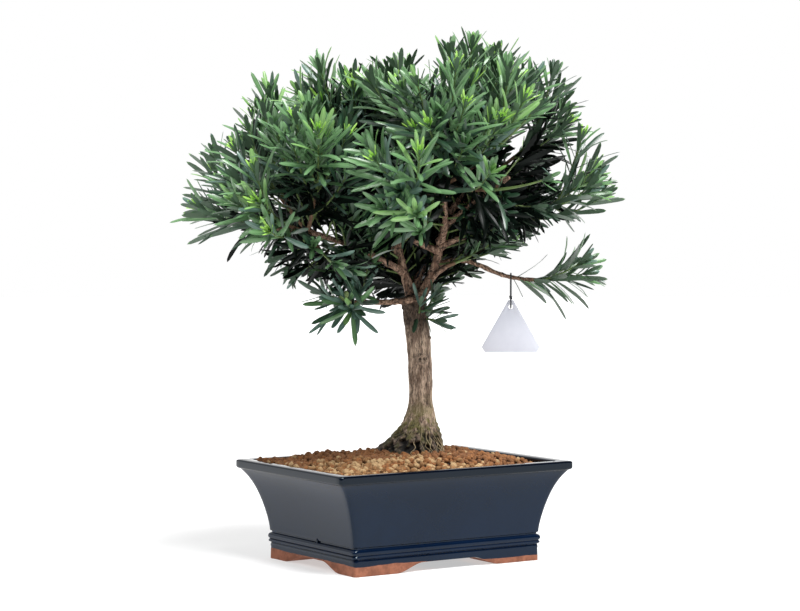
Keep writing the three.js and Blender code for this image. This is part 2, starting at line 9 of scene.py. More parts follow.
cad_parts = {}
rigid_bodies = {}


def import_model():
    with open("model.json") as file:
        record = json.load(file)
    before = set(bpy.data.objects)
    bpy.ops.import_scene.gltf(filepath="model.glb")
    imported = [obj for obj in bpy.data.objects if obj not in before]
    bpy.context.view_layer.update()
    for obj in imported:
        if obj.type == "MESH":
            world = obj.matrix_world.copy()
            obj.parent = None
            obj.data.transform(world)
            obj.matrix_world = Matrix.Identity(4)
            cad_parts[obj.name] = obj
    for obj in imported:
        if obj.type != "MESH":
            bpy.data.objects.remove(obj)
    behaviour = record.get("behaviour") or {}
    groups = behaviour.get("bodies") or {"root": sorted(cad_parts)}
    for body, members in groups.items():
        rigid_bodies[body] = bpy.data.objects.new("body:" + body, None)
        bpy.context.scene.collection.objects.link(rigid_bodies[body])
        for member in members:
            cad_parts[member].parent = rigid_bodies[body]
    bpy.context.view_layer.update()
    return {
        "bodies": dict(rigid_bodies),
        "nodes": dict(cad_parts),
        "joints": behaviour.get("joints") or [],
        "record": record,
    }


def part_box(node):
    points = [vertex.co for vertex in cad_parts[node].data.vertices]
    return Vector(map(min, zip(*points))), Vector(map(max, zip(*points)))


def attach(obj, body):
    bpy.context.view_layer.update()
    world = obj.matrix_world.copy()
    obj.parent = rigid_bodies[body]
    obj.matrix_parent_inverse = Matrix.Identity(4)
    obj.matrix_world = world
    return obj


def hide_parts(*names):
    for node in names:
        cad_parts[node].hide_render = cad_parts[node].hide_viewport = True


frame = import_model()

# The plant is laid out in millimetres in a frame of its own: X to its right as seen from its best
# side, Y to its back, Z up, from the pot's middle. plantToRow brings it into the row's frame.
mm = 0.001
bestSideTurn = -33.3
potLow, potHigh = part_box("pot")
potMiddle = Vector(((potLow.x + potHigh.x) / 2, (potLow.y + potHigh.y) / 2, 0))
potToRow = Matrix.Translation(potMiddle) @ Matrix.Scale(mm, 4)
plantToRow = potToRow @ Matrix.Rotation(math.radians(bestSideTurn), 4, "Z")


# A colour given as 0 to 255, as Blender's linear numbers.
def srgb(red, green, blue):
    linear = []
    for part in (red, green, blue):
        share = part / 255
        linear.append(share / 12.92 if share <= 0.04045 else ((share + 0.055) / 1.055) ** 2.4)
    return (*linear, 1)


def makeRandom(seed):
    state = [seed]

    def draw(low=0.0, high=1.0):
        state[0] = state[0] * 16807 % 2147483647
        return low + (high - low) * state[0] / 2147483647

    return draw


def direction(heading, rise=0):
    h, r = math.radians(heading), math.radians(rise)
    return np.array((math.cos(r) * math.cos(h), math.cos(r) * math.sin(h), math.sin(r)))


def unit(vector):
    return vector / max(np.linalg.norm(vector), 1e-9)


def smooth(low, high, value):
    t = min(1, max(0, (value - low) / (high - low)))
    return t * t * (3 - 2 * t)


# The point at a share of a line of evenly spaced points, and the line's direction there.
def atShare(line, t):
    place = min(max(t, 0), 1) * (len(line) - 1)
    step = min(int(place), len(line) - 2)
    part = place - step
    return line[step] * (1 - part) + line[step + 1] * part, unit(line[step + 1] - line[step])


def lineLength(line):
    return float(np.linalg.norm(np.diff(line, axis=0), axis=1).sum())


# Links a finished mesh as a piece that rides on the body, with its place in its mesh.
def addPiece(name, mesh, materials, toRow, replaced=()):
    mesh.transform(toRow)
    piece = bpy.data.objects.new(name, mesh)
    bpy.context.scene.collection.objects.link(piece)
    for material in materials:
        mesh.materials.append(material)
    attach(piece, "root")
    if replaced:
        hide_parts(*replaced)


def meshFromBmesh(bm, name, smoothAngle=40):
    mesh = bpy.data.meshes.new(name)
    bm.normal_update()
    bm.to_mesh(mesh)
    bm.free()
    mesh.polygons.foreach_set("use_smooth", [True] * len(mesh.polygons))
    mesh.set_sharp_from_angle(angle=math.radians(smoothAngle))
    return mesh


# Closes a bmesh of solid shapes into a piece. Edges sharper than an angle, in degrees, stay sharp.
def addSolid(name, bm, sharpAngle, material, toRow, replaced=()):
    bmesh.ops.recalc_face_normals(bm, faces=bm.faces)
    addPiece(name, meshFromBmesh(bm, name, sharpAngle), [material], toRow, replaced)


def cornersAndFaces(bm):
    corners = np.array([vert.co[:] for vert in bm.verts])
    return corners, [[vert.index for vert in face.verts] for face in bm.faces]


# One mesh of many copies of a shape: points is (copies, corners, 3), faces the shape's own.
def meshFromCopies(name, points, faces, faceMaterials=None, sharpAngle=45):
    copies, corners = points.shape[:2]
    sizes = np.array([len(face) for face in faces], np.int32)
    loops = np.concatenate([np.array(face, np.int32) for face in faces])
    offsets = (np.arange(copies, dtype=np.int32) * corners)[:, None]
    allLoops = (loops[None, :] + offsets).ravel()
    allSizes = np.tile(sizes, copies)
    mesh = bpy.data.meshes.new(name)
    mesh.vertices.add(copies * corners)
    mesh.vertices.foreach_set("co", points.astype(np.float32).ravel())
    mesh.loops.add(len(allLoops))
    mesh.loops.foreach_set("vertex_index", allLoops)
    mesh.polygons.add(len(allSizes))
    starts = np.concatenate([[0], np.cumsum(allSizes)[:-1]]).astype(np.int32)
    mesh.polygons.foreach_set("loop_start", starts)
    mesh.polygons.foreach_set("use_smooth", [True] * len(allSizes))
    if faceMaterials is not None:
        mesh.polygons.foreach_set("material_index", np.tile(np.array(faceMaterials, np.int32), copies))
    mesh.update(calc_edges=True)
    mesh.set_sharp_from_angle(angle=math.radians(sharpAngle))
    return mesh


# A pair of directions across a line at each point, carried along so that they never twist.
def carriedFrames(line, closed=False):
    frames = []
    across = None
    for i in range(len(line)):
        before = line[i - 1] if i or closed else line[i]
        after = line[(i + 1) % len(line)] if i + 1 < len(line) or closed else line[i]
        tangent = unit(after - before)
        if across is None:
            across = np.cross((0, 0, 1), tangent)
            if np.linalg.norm(across) < 0.2:
                across = np.cross((1, 0, 0), tangent)
        across = unit(across - tangent * np.dot(across, tangent))
        frames.append((across, np.cross(tangent, across)))
    return frames


# Extrudes open edges, and gives the new corners and the new edges between them.
def extrude(bm, edges):
    made = bmesh.ops.extrude_edge_only(bm, edges=edges)["geom"]
    ring = [part for part in made if isinstance(part, bmesh.types.BMVert)]
    inRing = set(ring)
    newEdges = [part for part in made if isinstance(part, bmesh.types.BMEdge)]
    return ring, [edge for edge in newEdges if inRing.issuperset(edge.verts)]


def roundEdges(bm, edges, width, segments=2):
    bmesh.ops.bevel(bm, geom=edges, offset=width, offset_type="OFFSET", segments=segments, affect="EDGES",
                    profile=0.5, material=-1, clamp_overlap=True)


# Grows a skin round a line, ring by ring. skinAt(ring, angle) gives its radius and how deep it is cracked,
# which the bark darkens with painted shade.
def sweep(bm, line, sides, skinAt, closed=False):
    side = bm.verts.layers.int.get("side") or bm.verts.layers.int.new("side")
    depth = bm.verts.layers.float.get("depth") or bm.verts.layers.float.new("depth")
    ring = bmesh.ops.create_circle(bm, cap_ends=False, radius=1, segments=sides)["verts"]
    for index, vert in enumerate(ring):
        vert[side] = index
    firstEdges = edges = list({edge for vert in ring for edge in vert.link_edges})
    for i, (centre, (across, up)) in enumerate(zip(line, carriedFrames(line, closed))):
        if i:
            ring, edges = extrude(bm, edges)
        for vert in ring:
            angle = 2 * math.pi * vert[side] / sides
            out = across * math.cos(angle) + up * math.sin(angle)
            radius, vert[depth] = skinAt(i, angle)
            vert.co = Vector(centre + out * radius)
    if closed:
        bmesh.ops.bridge_loops(bm, edges=firstEdges + edges)
    else:
        for rim in (firstEdges, edges):
            bmesh.ops.edgeloop_fill(bm, edges=rim)


# Sets a node's inputs, by name or number, to plain values or to what other nodes put out.
def feed(node, inputs):
    for key, value in inputs.items():
        if isinstance(value, bpy.types.NodeSocket):
            node.id_data.links.new(value, node.inputs[key])
        else:
            node.inputs[key].default_value = value


def addNode(tree, kind, inputs=None, **settings):
    made = tree.nodes.new("ShaderNode" + kind)
    for key, value in settings.items():
        setattr(made, key, value)
    feed(made, inputs or {})
    return made


def calculate(tree, operation, *values):
    return addNode(tree, "Math", dict(enumerate(values)), operation=operation).outputs[0]


def mixColors(tree, mask, first, second):
    return addNode(tree, "Mix", {0: mask, 6: first, 7: second}, data_type="RGBA").outputs[2]


def remap(tree, value, fromLow, fromHigh, toLow=0.0, toHigh=1.0):
    inputs = dict(enumerate((value, fromLow, fromHigh, toLow, toHigh)))
    return addNode(tree, "MapRange", inputs, interpolation_type="SMOOTHSTEP").outputs[0]


def noiseOver(tree, place, scale, detail, roughness=0.5):
    inputs = {"Vector": place, "Scale": scale, "Detail": detail, "Roughness": roughness}
    return addNode(tree, "TexNoise", inputs).outputs[0]


def addBump(tree, height, strength, distance):
    return addNode(tree, "Bump", {"Height": height, "Strength": strength, "Distance": distance}).outputs[0]


mottleInputs = {
    "Color": ("Color", (0.5, 0.5, 0.5, 1)), "Second": ("Color", (0.3, 0.3, 0.3, 1)),
    "Scale": ("Float", 100.0), "Amount": ("Float", 0.5), "Relief": ("Float", 0.2),
}


# Two-scale mottling of one colour towards another, and a bump that goes with it.
def buildMottleGroup():
    group = bpy.data.node_groups.new("mottle", "ShaderNodeTree")
    for name, (kind, value) in mottleInputs.items():
        made = group.interface.new_socket(name, in_out="INPUT", socket_type="NodeSocket" + kind)
        made.default_value = value
    for name, kind in (("Color", "Color"), ("Normal", "Vector")):
        group.interface.new_socket(name, in_out="OUTPUT", socket_type="NodeSocket" + kind)
    given = group.nodes.new("NodeGroupInput").outputs
    place = addNode(group, "TexCoord").outputs["Object"]
    coarse = noiseOver(group, place, given["Scale"], 5.0)
    fine = noiseOver(group, place, calculate(group, "MULTIPLY", given["Scale"], 5.3), 3.0)
    both = calculate(group, "MULTIPLY_ADD", fine, 0.4, coarse)
    mask = calculate(group, "MULTIPLY", remap(group, both, 0.5, 0.9), given["Amount"])
    feed(group.nodes.new("NodeGroupOutput"), {
        "Color": mixColors(group, mask, given["Color"], given["Second"]),
        "Normal": addBump(group, both, given["Relief"], 0.001),
    })
    return group


mottle = buildMottleGroup()


# What the group puts out for values in the order of its inputs.
def placeMottle(tree, *values):
    made = tree.nodes.new("ShaderNodeGroup")
    made.node_tree = mottle
    feed(made, dict(zip(mottleInputs, values)))
    return made.outputs


def shaderOf(material):
    return material.node_tree.nodes["Principled BSDF"]


# A Principled material with plain values on its own sockets.
def newMaterial(name, color, roughness, **inputs):
    material = bpy.data.materials.new(name)
    material.use_nodes = True
    feed(shaderOf(material), {"Base Color": color, "Roughness": roughness, **inputs})
    return material


def mottledMaterial(name, color, second, scale, amount, relief, roughness, **inputs):
    material = newMaterial(name, color, roughness, **inputs)
    mottled = placeMottle(material.node_tree, color, second, scale, amount, relief)
    feed(shaderOf(material), {"Base Color": mottled["Color"], "Normal": mottled["Normal"]})
    return material


view = {
    "place": (-1281.5, -1946.5, 334.6),  # from the pot's middle
    "heading": 33.27,
    "dip": 2.26,
    "lens": 110.16,
    "sensor": 36,
    "reach": 50,
}


def addCamera():
    camera = bpy.data.objects.new("camera", bpy.data.cameras.new("camera"))
    camera.data.lens = view["lens"]
    camera.data.sensor_width = view["sensor"]
    camera.data.clip_end = view["reach"]
    camera.location = potToRow @ Vector(view["place"])
    camera.rotation_euler = (math.radians(90 - view["dip"]), 0, math.radians(-view["heading"]))
    bpy.context.scene.collection.objects.link(camera)
    bpy.context.scene.camera = camera


studio = {
    "suns": [
        # name, heading and rise in the plant's frame, strength, angle
        ("key", 312, 61, 5.5, 32),
        ("side", 205, 50, 0.85, 40),
    ],
    "front": 0.11,  # brightness of the room before the plant
    "back": 0.72,  # of the backdrop behind it
    "towardsBack": (-0.2, 0.95, 0.25),
    "turn": (-0.3, 0.6),  # where the one passes into the other
    "strip": 0.9,  # and of a lit strip along the backdrop's foot
    "stripTop": (0.04, 0.2),
    "white": (1, 1, 1, 1),
}


def addLights():
    turn = plantToRow.to_3x3().normalized()
    for name, heading, rise, strength, angle in studio["suns"]:
        lamp = bpy.data.lights.new(name, "SUN")
        lamp.energy = strength
        lamp.angle = math.radians(angle)
        made = bpy.data.objects.new(name, lamp)
        made.rotation_euler = (turn @ Vector(direction(heading, rise))).to_track_quat("Z", "Y").to_euler()
        bpy.context.scene.collection.objects.link(made)
    world = bpy.data.worlds.new("studio")
    world.use_nodes = True
    tree = world.node_tree
    tree.nodes.clear()
    place = addNode(tree, "TexCoord").outputs["Generated"]
    back = turn @ Vector(studio["towardsBack"])
    towards = addNode(tree, "VectorMath", {0: place, 1: back}, operation="DOT_PRODUCT")
    wall = remap(tree, towards.outputs["Value"], *studio["turn"], studio["front"], studio["back"])
    height = addNode(tree, "SeparateXYZ", {0: place}).outputs["Z"]
    strip = remap(tree, height, *studio["stripTop"], studio["strip"], 0.0)
    strength = calculate(tree, "MULTIPLY_ADD", wall, strip, wall)
    room, white = (
        addNode(tree, "Background", {0: studio["white"], 1: value}).outputs[0] for value in (strength, 1.0)
    )
    isSeen = addNode(tree, "LightPath").outputs["Is Camera Ray"]
    either = addNode(tree, "MixShader", {0: isSeen, 1: room, 2: white})
    addNode(tree, "OutputWorld", {0: either.outputs[0]})
    bpy.context.scene.world = world
    bpy.context.scene.view_settings.view_transform = "Standard"


table = {"radius": 7, "sides": 64, "color": (0.52, 0.52, 0.52, 1), "roughness": 0.9, "glow": 0.5}


# A pale floor under a white backdrop, which glows so that shadows on it stay pale.
def addStage():
    bm = bmesh.new()
    bmesh.ops.create_circle(bm, cap_ends=True, radius=table["radius"], segments=table["sides"])
    floor = bpy.data.objects.new("floor", meshFromBmesh(bm, "floor"))
    bpy.context.scene.collection.objects.link(floor)
    glow = {"Emission Color": studio["white"], "Emission Strength": table["glow"]}
    floor.data.materials.append(newMaterial("paleFloor", table["color"], table["roughness"], **glow))


pot = {
    "length": 261.5, "width": 191.5, "height": 95, "corner": 3,
    "rimDrop": 8.5, "rimTop": 14, "rimOverhang": 3, "edge": 1.6, "footEdge": 0.8,
    "neckInset": 26.5, "neckHeight": 27.5, "bandInset": 25, "skirtInset": 27, "widthShare": 0.7,
    "wall": 8, "wallSteps": 22, "floor": 20, "lipDepth": 14,
    "footHeight": 8.5, "footLength": 76, "footWidth": 58, "footCurve": 30,
    "mouldings": [
        # the inset that they start from, how much further in they lie, height
        ("skirtInset", 0.3, 11.5), ("skirtInset", 0, 13), ("skirtInset", 0.2, 14.6),
        ("skirtInset", 0.5, 15.4), ("skirtInset", -0.2, 16),
        ("bandInset", 0.5, 16.6), ("bandInset", 0.4, 18.4), ("bandInset", 1.3, 19.2),
        ("bandInset", 0.6, 19.9), ("bandInset", 0, 21.2), ("bandInset", 0, 22.8), ("bandInset", 0.6, 24.1),
        ("bandInset", 1.6, 24.9),
        ("neckInset", 1.6, 25.3), ("neckInset", 1.6, 26.3), ("neckInset", 0.3, 26.9),
    ],
}


def potWallInset(z):
    t = (z - pot["neckHeight"]) / (pot["height"] - pot["rimDrop"] - pot["neckHeight"])
    share = 0.75 * t ** 1.4 + 0.25 * t ** 6
    return pot["neckInset"] - (pot["neckInset"] - pot["rimOverhang"]) * share


# How high the pot's underside lies above the ground at a place along one side.
def footGap(place, half, footLength):
    flatHalf = half - footLength
    t = (abs(place) - flatHalf) / pot["footCurve"]
    return pot["footHeight"] * (1 - smooth(0, 1, t))


def quarterTurn(steps):
    turns = [math.pi / 2 * i / steps for i in range(steps + 1)]
    return [(math.sin(turn), math.cos(turn)) for turn in turns]


# Pairs of inset and height, from the skirt's foot over the rim and down to the floor inside.
def potStations():
    neck, rimTop, floor = pot["neckHeight"], pot["rimTop"], pot["floor"]
    wallTop = pot["height"] - pot["rimDrop"]
    made = [(pot[inset] + further, z) for inset, further, z in pot["mouldings"]]
    for i in range(pot["wallSteps"]):
        z = neck + (wallTop - neck) * i / pot["wallSteps"]
        made.append((potWallInset(z), z))
    lip, edge = pot["rimOverhang"], pot["edge"]
    level = pot["height"] - edge
    made += [(lip * (1 - sine), wallTop + 0.8 * lip * (1 - cosine)) for sine, cosine in quarterTurn(6)]
    made += [(edge * (1 - cosine), level + edge * sine) for sine, cosine in quarterTurn(5)]
    made += [(rimTop - edge + edge * sine, level + edge * cosine) for sine, cosine in quarterTurn(4)]
    lipFoot, inside = pot["height"] - pot["lipDepth"], pot["neckInset"] + pot["wall"]
    made += [(rimTop, pot["height"] - 6), (rimTop, lipFoot)]
    return made + [((inside + rimTop) / 2 + 2, (floor + lipFoot) / 2), (inside, floor)]


# Grid lines along one side: close together where a foot curves, wide at the corners.
def gridStops(half, footLength, edgeCell=7.0, middleCells=6, curveCells=11, flatCells=4):
    flatHalf = half - footLength
    stops = [flatHalf * i / middleCells for i in range(middleCells)]
    stops += [flatHalf + pot["footCurve"] * i / curveCells for i in range(curveCells)]
    last = flatHalf + pot["footCurve"]
    stops += [last + (half - edgeCell - last) * i / flatCells for i in range(flatCells + 1)]
    stops.append(half)
    return [-stop for stop in reversed(stops[1:])] + stops


# Half the pot's length and width at an inset.
def potHalves(inset):
    return pot["length"] / 2 - inset, pot["width"] / 2 - inset * pot["widthShare"]


def addPot():
    inset = pot["skirtInset"]
    halfX, halfY = potHalves(inset)
    stopsX = gridStops(halfX, pot["footLength"])
    stopsY = gridStops(halfY, pot["footWidth"], middleCells=4)
    bm = bmesh.new()
    bmesh.ops.create_grid(bm, x_segments=len(stopsX) - 1, y_segments=len(stopsY) - 1, size=1)
    for vert in bm.verts:
        x = stopsX[round((vert.co.x + 1) / 2 * (len(stopsX) - 1))]
        y = stopsY[round((vert.co.y + 1) / 2 * (len(stopsY) - 1))]
        gap = max(footGap(x, halfX, pot["footLength"]), footGap(y, halfY, pot["footWidth"]))
        vert.co = (x, y, gap)
    bmesh.ops.reverse_faces(bm, faces=bm.faces)
    edges = footRim = [edge for edge in bm.edges if edge.is_boundary]
    corners = []
    for nextInset, z in potStations():
        ring, edges = extrude(bm, edges)
        halves, nextHalves = potHalves(inset), potHalves(nextInset)
        for vert in ring:
            isCorner = all(abs(abs(vert.co[i]) - halves[i]) < 0.01 for i in range(2))
            vert.co = (*(vert.co[i] * (nextHalves[i] / halves[i]) for i in range(2)), z)
            if isCorner:
                corners += [edge for edge in vert.link_edges if edge.other_vert(vert) not in ring]
        inset = nextInset
    bmesh.ops.edgeloop_fill(bm, edges=edges)
    for chosen, width, segments in ((corners, pot["corner"], 4), (footRim, pot["footEdge"], 2)):
        roundEdges(bm, list({edge for edge in chosen if edge.is_valid}), width, segments)
    addDrip(bm)
    addSolid("glazedPot", bm, 32, potMaterial(), potToRow, ["pot"])
    print("pot done")


drip = {"y": -12, "z": 26.5, "size": (1.5, 1.1, 3.3)}


# A run of glaze that set across the groove on the short side.
def addDrip(bm):
    place = Vector((-(pot["length"] / 2 - pot["neckInset"] - 0.6), drip["y"], drip["z"]))
    shape = Matrix.Translation(place) @ Matrix.Diagonal((*drip["size"], 1))
    bmesh.ops.create_icosphere(bm, subdivisions=3, radius=1, matrix=shape)


glaze = {
    # the rim colour is painted shade: near-black glaze laid over the rim above the heights given next to it
    "color": srgb(1, 13, 34), "sheen": srgb(4, 23, 48), "rim": srgb(0, 5, 19), "rimShadeFrom": (0.084, 0.0875),
    "roughness": 0.07, "shine": {"Specular IOR Level": 0.27, "Specular Tint": (0.78, 0.92, 1, 1)},
    "clay": srgb(152, 98, 75), "clayDark": srgb(96, 58, 43), "clayRoughness": 0.85,
    "glazeMottle": (9.0, 0.5, 0.012), "clayMottle": (120.0, 0.6, 0.5),  # scale, amount, relief
    "line": 9.6, "farLine": 5.4, "ragged": 1.7, "blur": 0.3, "lowering": (-0.05, 0.06),
}


# Dark blue glaze, which ends in a ragged line over bare clay at the feet, with painted shade darkening it
# over the rim.
def potMaterial():
    material = newMaterial("darkBlueGlaze", glaze["color"], glaze["roughness"], **glaze["shine"])
    tree = material.node_tree
    place = addNode(tree, "TexCoord").outputs["Object"]
    split = addNode(tree, "SeparateXYZ", {0: place}).outputs
    wander = noiseOver(tree, place, 38.0, 4.0)
    lifted = calculate(tree, "MULTIPLY_ADD", wander, -glaze["ragged"] * 2 * mm, split["Z"])
    # the glaze runs lower towards the far end of the long side
    lowering = remap(tree, split["X"], *glaze["lowering"], 0.0, (glaze["line"] - glaze["farLine"]) * mm)
    line, blur = (glaze["line"] - glaze["ragged"]) * mm, glaze["blur"] * mm
    glazed = remap(tree, calculate(tree, "ADD", lifted, lowering), line - blur, line + blur)
    blue = placeMottle(tree, glaze["color"], glaze["sheen"], *glaze["glazeMottle"])
    clay = placeMottle(tree, glaze["clay"], glaze["clayDark"], *glaze["clayMottle"])
    # painted shade: the glaze turns near-black over the rim
    glazeWithShadedRim = mixColors(tree, remap(tree, split["Z"], *glaze["rimShadeFrom"]), blue["Color"], glaze["rim"])
    feed(shaderOf(material), {
        "Base Color": mixColors(tree, glazed, clay["Color"], glazeWithShadedRim),
        "Roughness": remap(tree, glazed, 0, 1, glaze["clayRoughness"], glaze["roughness"]),
        "Normal": mixColors(tree, glazed, clay["Normal"], blue["Normal"]),
    })
    return material


soil = {
    "top": 100, "edge": 87, "edgeRise": 8, "level": 0.6,
    "cell": 17, "dip": 3.2, "smoothNear": 40, "smoothFar": 62,
    "spacing": 4.9, "jitter": 0.42, "smallest": 1.8, "largest": 3.6, "seed": 41,
    "margin": 1.5, "trunkRoom": 15, "upperRise": 1.6, "upperSkipped": 0.55, "sunk": 0.8,
    "lumps": (0.5, 12, 3.1), "drifts": (0.7, 26, 8.4),  # strength, size, place in the noise
    "paleFrom": 38, "paleReach": 62, "creamShare": 0.45, "rustShare": 0.25,
    "stretch": (0.72, 1.2), "rough": (0.86, 1.1),
    "granuleMottle": (420.0, 0.7, 0.6, 0.95),  # scale, amount, relief, roughness
    "bedMargin": 1.2, "bedDrop": 1.8, "bedCells": (36, 26),
    # bedLook: brown soil darkened with painted shade, as seen in the gaps between the granules
    "bedLook": (srgb(46, 28, 17), srgb(22, 14, 10), 300.0, 0.8, 0.8, 1.0),
}
trunkFoot = (14, 25.7)
trunkFootInPot = Matrix.Rotation(math.radians(bestSideTurn), 3, "Z") @ Vector((*trunkFoot, 0))
leftInPot = Matrix.Rotation(math.radians(bestSideTurn), 3, "Z") @ Vector((-1, 0, 0))


# Level about the trunk, falling to the pot's wall, and higher on the plant's left.
def soilHeight(x, y):
    halfX, halfY = potHalves(pot["rimTop"])
    dx, dy = x - trunkFootInPot.x, y - trunkFootInPot.y
    toWallX = dx / ((halfX if dx > 0 else -halfX) - trunkFootInPot.x)
    toWallY = dy / ((halfY if dy > 0 else -halfY) - trunkFootInPot.y)
    share = max(toWallX, toWallY, 0)
    towardsLeft = (x * leftInPot.x + y * leftInPot.y) / (pot["length"] / 2)
    edge = soil["edge"] + soil["edgeRise"] * max(0, towardsLeft)
    slope = (soil["top"] - edge) * max(0, (share - soil["level"]) / (1 - soil["level"]))
    dip = soil["dip"] * smooth(soil["smoothNear"], soil["smoothFar"], math.hypot(dx, dy))
    return soil["top"] - slope - dip * soilDip(x, y)


# A share from 0 to 1 that jumps about from one cell to the next.
def scatter(i, j):
    wave = math.sin(i * 12.9898 + j * 78.233) * 43758.5453
    return wave - math.floor(wave)


# Shallow dips between lumps, from 0 to 1, even between the corners of the cells.
def soilDip(x, y):
    cellsX, cellsY = (round(pot[side] / soil["cell"]) for side in ("length", "width"))
    across, deep = (x / pot["length"] + 0.5) * cellsX, (y / pot["width"] + 0.5) * cellsY
    i, j = math.floor(across), math.floor(deep)
    u, v = across - i, deep - j
    near = scatter(i, j) * (1 - u) + scatter(i + 1, j) * u
    far = scatter(i, j + 1) * (1 - u) + scatter(i + 1, j + 1) * u
    return near * (1 - v) + far * v


granuleTones = {
    "Brown": (srgb(142, 96, 59), srgb(80, 50, 31)),
    "Rust": (srgb(154, 103, 60), srgb(94, 59, 33)),
    "Tan": (srgb(152, 112, 71), srgb(90, 61, 36)),
    "Cream": (srgb(190, 160, 118), srgb(132, 98, 64)),
}


# Turning matrices, spread evenly over all turns.
def randomTurns(rng, count):
    q = rng.normal(size=(count, 4))
    w, x, y, z = (q / np.linalg.norm(q, axis=1, keepdims=True)).T
    return np.array([
        [1 - 2 * (y * y + z * z), 2 * (x * y - w * z), 2 * (x * z + w * y)],
        [2 * (x * y + w * z), 1 - 2 * (x * x + z * z), 2 * (y * z - w * x)],
        [2 * (x * z - w * y), 2 * (y * z + w * x), 1 - 2 * (x * x + y * y)],
    ]).transpose(2, 0, 1)


def noiseAt(x, y, strength, size, place):
    return strength * noise.noise(Vector((x / size, y / size, place)))


# Places, sizes and tones of the granules: two loose layers, paler towards the plant's front.
def dealGranules(rng, halfX, halfY):
    toPlant = Matrix.Rotation(math.radians(-bestSideTurn), 3, "Z")
    dealt = {tone: [] for tone in granuleTones}
    rowsX, rowsY = (int(2 * half / soil["spacing"]) for half in (halfX, halfY))
    for layer in range(2):
        for i in range(rowsX + 1):
            for j in range(rowsY + 1):
                jitter = rng.uniform(-soil["jitter"], soil["jitter"], 2) * soil["spacing"]
                x = -halfX + 2 * halfX * (i + 0.5 * layer) / rowsX + jitter[0]
                y = -halfY + 2 * halfY * (j + 0.5 * layer) / rowsY + jitter[1]
                if abs(x) > halfX or abs(y) > halfY:
                    continue
                if layer == 1 and rng.random() < soil["upperSkipped"]:
                    continue
                inPlant = toPlant @ (Vector((x, y, 0)) - trunkFootInPot)
                if inPlant.length < soil["trunkRoom"]:
                    continue
                radius = rng.uniform(soil["smallest"], soil["largest"])
                z = soilHeight(x, y) + noiseAt(x, y, *soil["lumps"])
                z = z + soil["upperRise"] * layer - soil["sunk"]
                z += rng.uniform(-0.5, 0.5)
                front = (-inPlant.y - soil["paleFrom"]) / soil["paleReach"] + noiseAt(x, y, *soil["drifts"])
                pale = min(0.8, max(0.05, front))
                draw = rng.random()
                tone = "Rust" if draw < pale + soil["rustShare"] else "Brown"
                if draw < pale:
                    tone = "Cream" if draw < pale * soil["creamShare"] else "Tan"
                dealt[tone].append((x, y, z, radius))
    return dealt


def addSoil():
    rng = np.random.default_rng(soil["seed"])
    halfX, halfY = (half - soil["margin"] for half in potHalves(pot["rimTop"]))
    dealt = dealGranules(rng, halfX, halfY)
    bm = bmesh.new()
    bmesh.ops.create_icosphere(bm, subdivisions=2, radius=1)
    corners, faces = cornersAndFaces(bm)
    bm.free()
    for tone, (color, second) in granuleTones.items():
        rows = np.array(dealt[tone])
        count = len(rows)
        stretch = rng.uniform(*soil["stretch"], (count, 1, 3))
        shapes = corners[None] * stretch * rng.uniform(*soil["rough"], (count, len(corners), 1))
        turned = np.einsum("nij,nkj->nki", randomTurns(rng, count), shapes)
        points = turned * rows[:, 3][:, None, None] + rows[:, None, :3]
        mesh = meshFromCopies("granules" + tone, points, faces, sharpAngle=75)
        material = mottledMaterial("clayGranule" + tone, color, second, *soil["granuleMottle"])
        addPiece("granules" + tone, mesh, [material], potToRow)
    addSoilBed(halfX + soil["bedMargin"], halfY + soil["bedMargin"])
    print("soil done,", sum(len(rows) for rows in dealt.values()), "granules")


# The ground that shows between the granules, down to the pot's floor, darkened with painted shade for the
# gaps between them.
def addSoilBed(halfX, halfY):
    bm = bmesh.new()
    bmesh.ops.create_grid(bm, x_segments=soil["bedCells"][0], y_segments=soil["bedCells"][1], size=1)
    for vert in bm.verts:
        x, y = vert.co.x * halfX, vert.co.y * halfY
        vert.co = (x, y, soilHeight(x, y) - soil["bedDrop"])
    ring, edges = extrude(bm, [edge for edge in bm.edges if edge.is_boundary])
    for vert in ring:
        vert.co.z = pot["height"] - pot["lipDepth"]
    bmesh.ops.edgeloop_fill(bm, edges=edges)
    shadedSoilBed = mottledMaterial("shadedSoilBed", *soil["bedLook"])
    addSolid("soilBed", bm, 40, shadedSoilBed, potToRow, ["soil"])


trunk = {
    "foot": (*trunkFoot, 98.5), "middle": (20.6, 25.7, 172), "top": (8.6, 25.7, 254),
    "radius": 11, "forkSwelling": 1, "footSwelling": 11, "footHeight": 55, "rootHeight": 32,
    "sides": 150, "ringEvery": 0.75, "dome": 13,
    "barkRadius": 10.5, "grain": (1.15, 0.17), "roughDepth": 1.5,
    "rough": [(116, 136, 3.2), (44, 22, 2.7)],  # heights where it grows rougher, and the size of its lumps
}
roots = [
    # heading, spread beyond the foot, half width of the ridge in degrees
    (168, 20, 26), (232, 12, 24), (292, 9, 22), (340, 2.5, 22), (50, 9, 26), (108, 14, 24),
]
ribs = [
    (200, 3, 8), (214, 2.5, 7), (255, 3.2, 8), (275, 2.6, 7),
    (312, 3.4, 8), (328, 2.4, 6), (20, 3, 9), (80, 3, 9),
]
knot = {
    "heading": 283, "height": 90.5, "radius": 5.0, "squash": 1.15, "rimWidth": 1.3, "bowl": (2.6, 4.6),
    "pits": (-2.2, 2), "pitSize": 1.7, "rimHeight": 1.3, "bowlDepth": 0.9, "pitDepth": 1.5,
}
# hollows: dark is how strongly painted shade blackens them
hollows = {"size": 6, "depth": 5, "openTo": 0.22, "heights": (24, 11), "dark": 1.3}

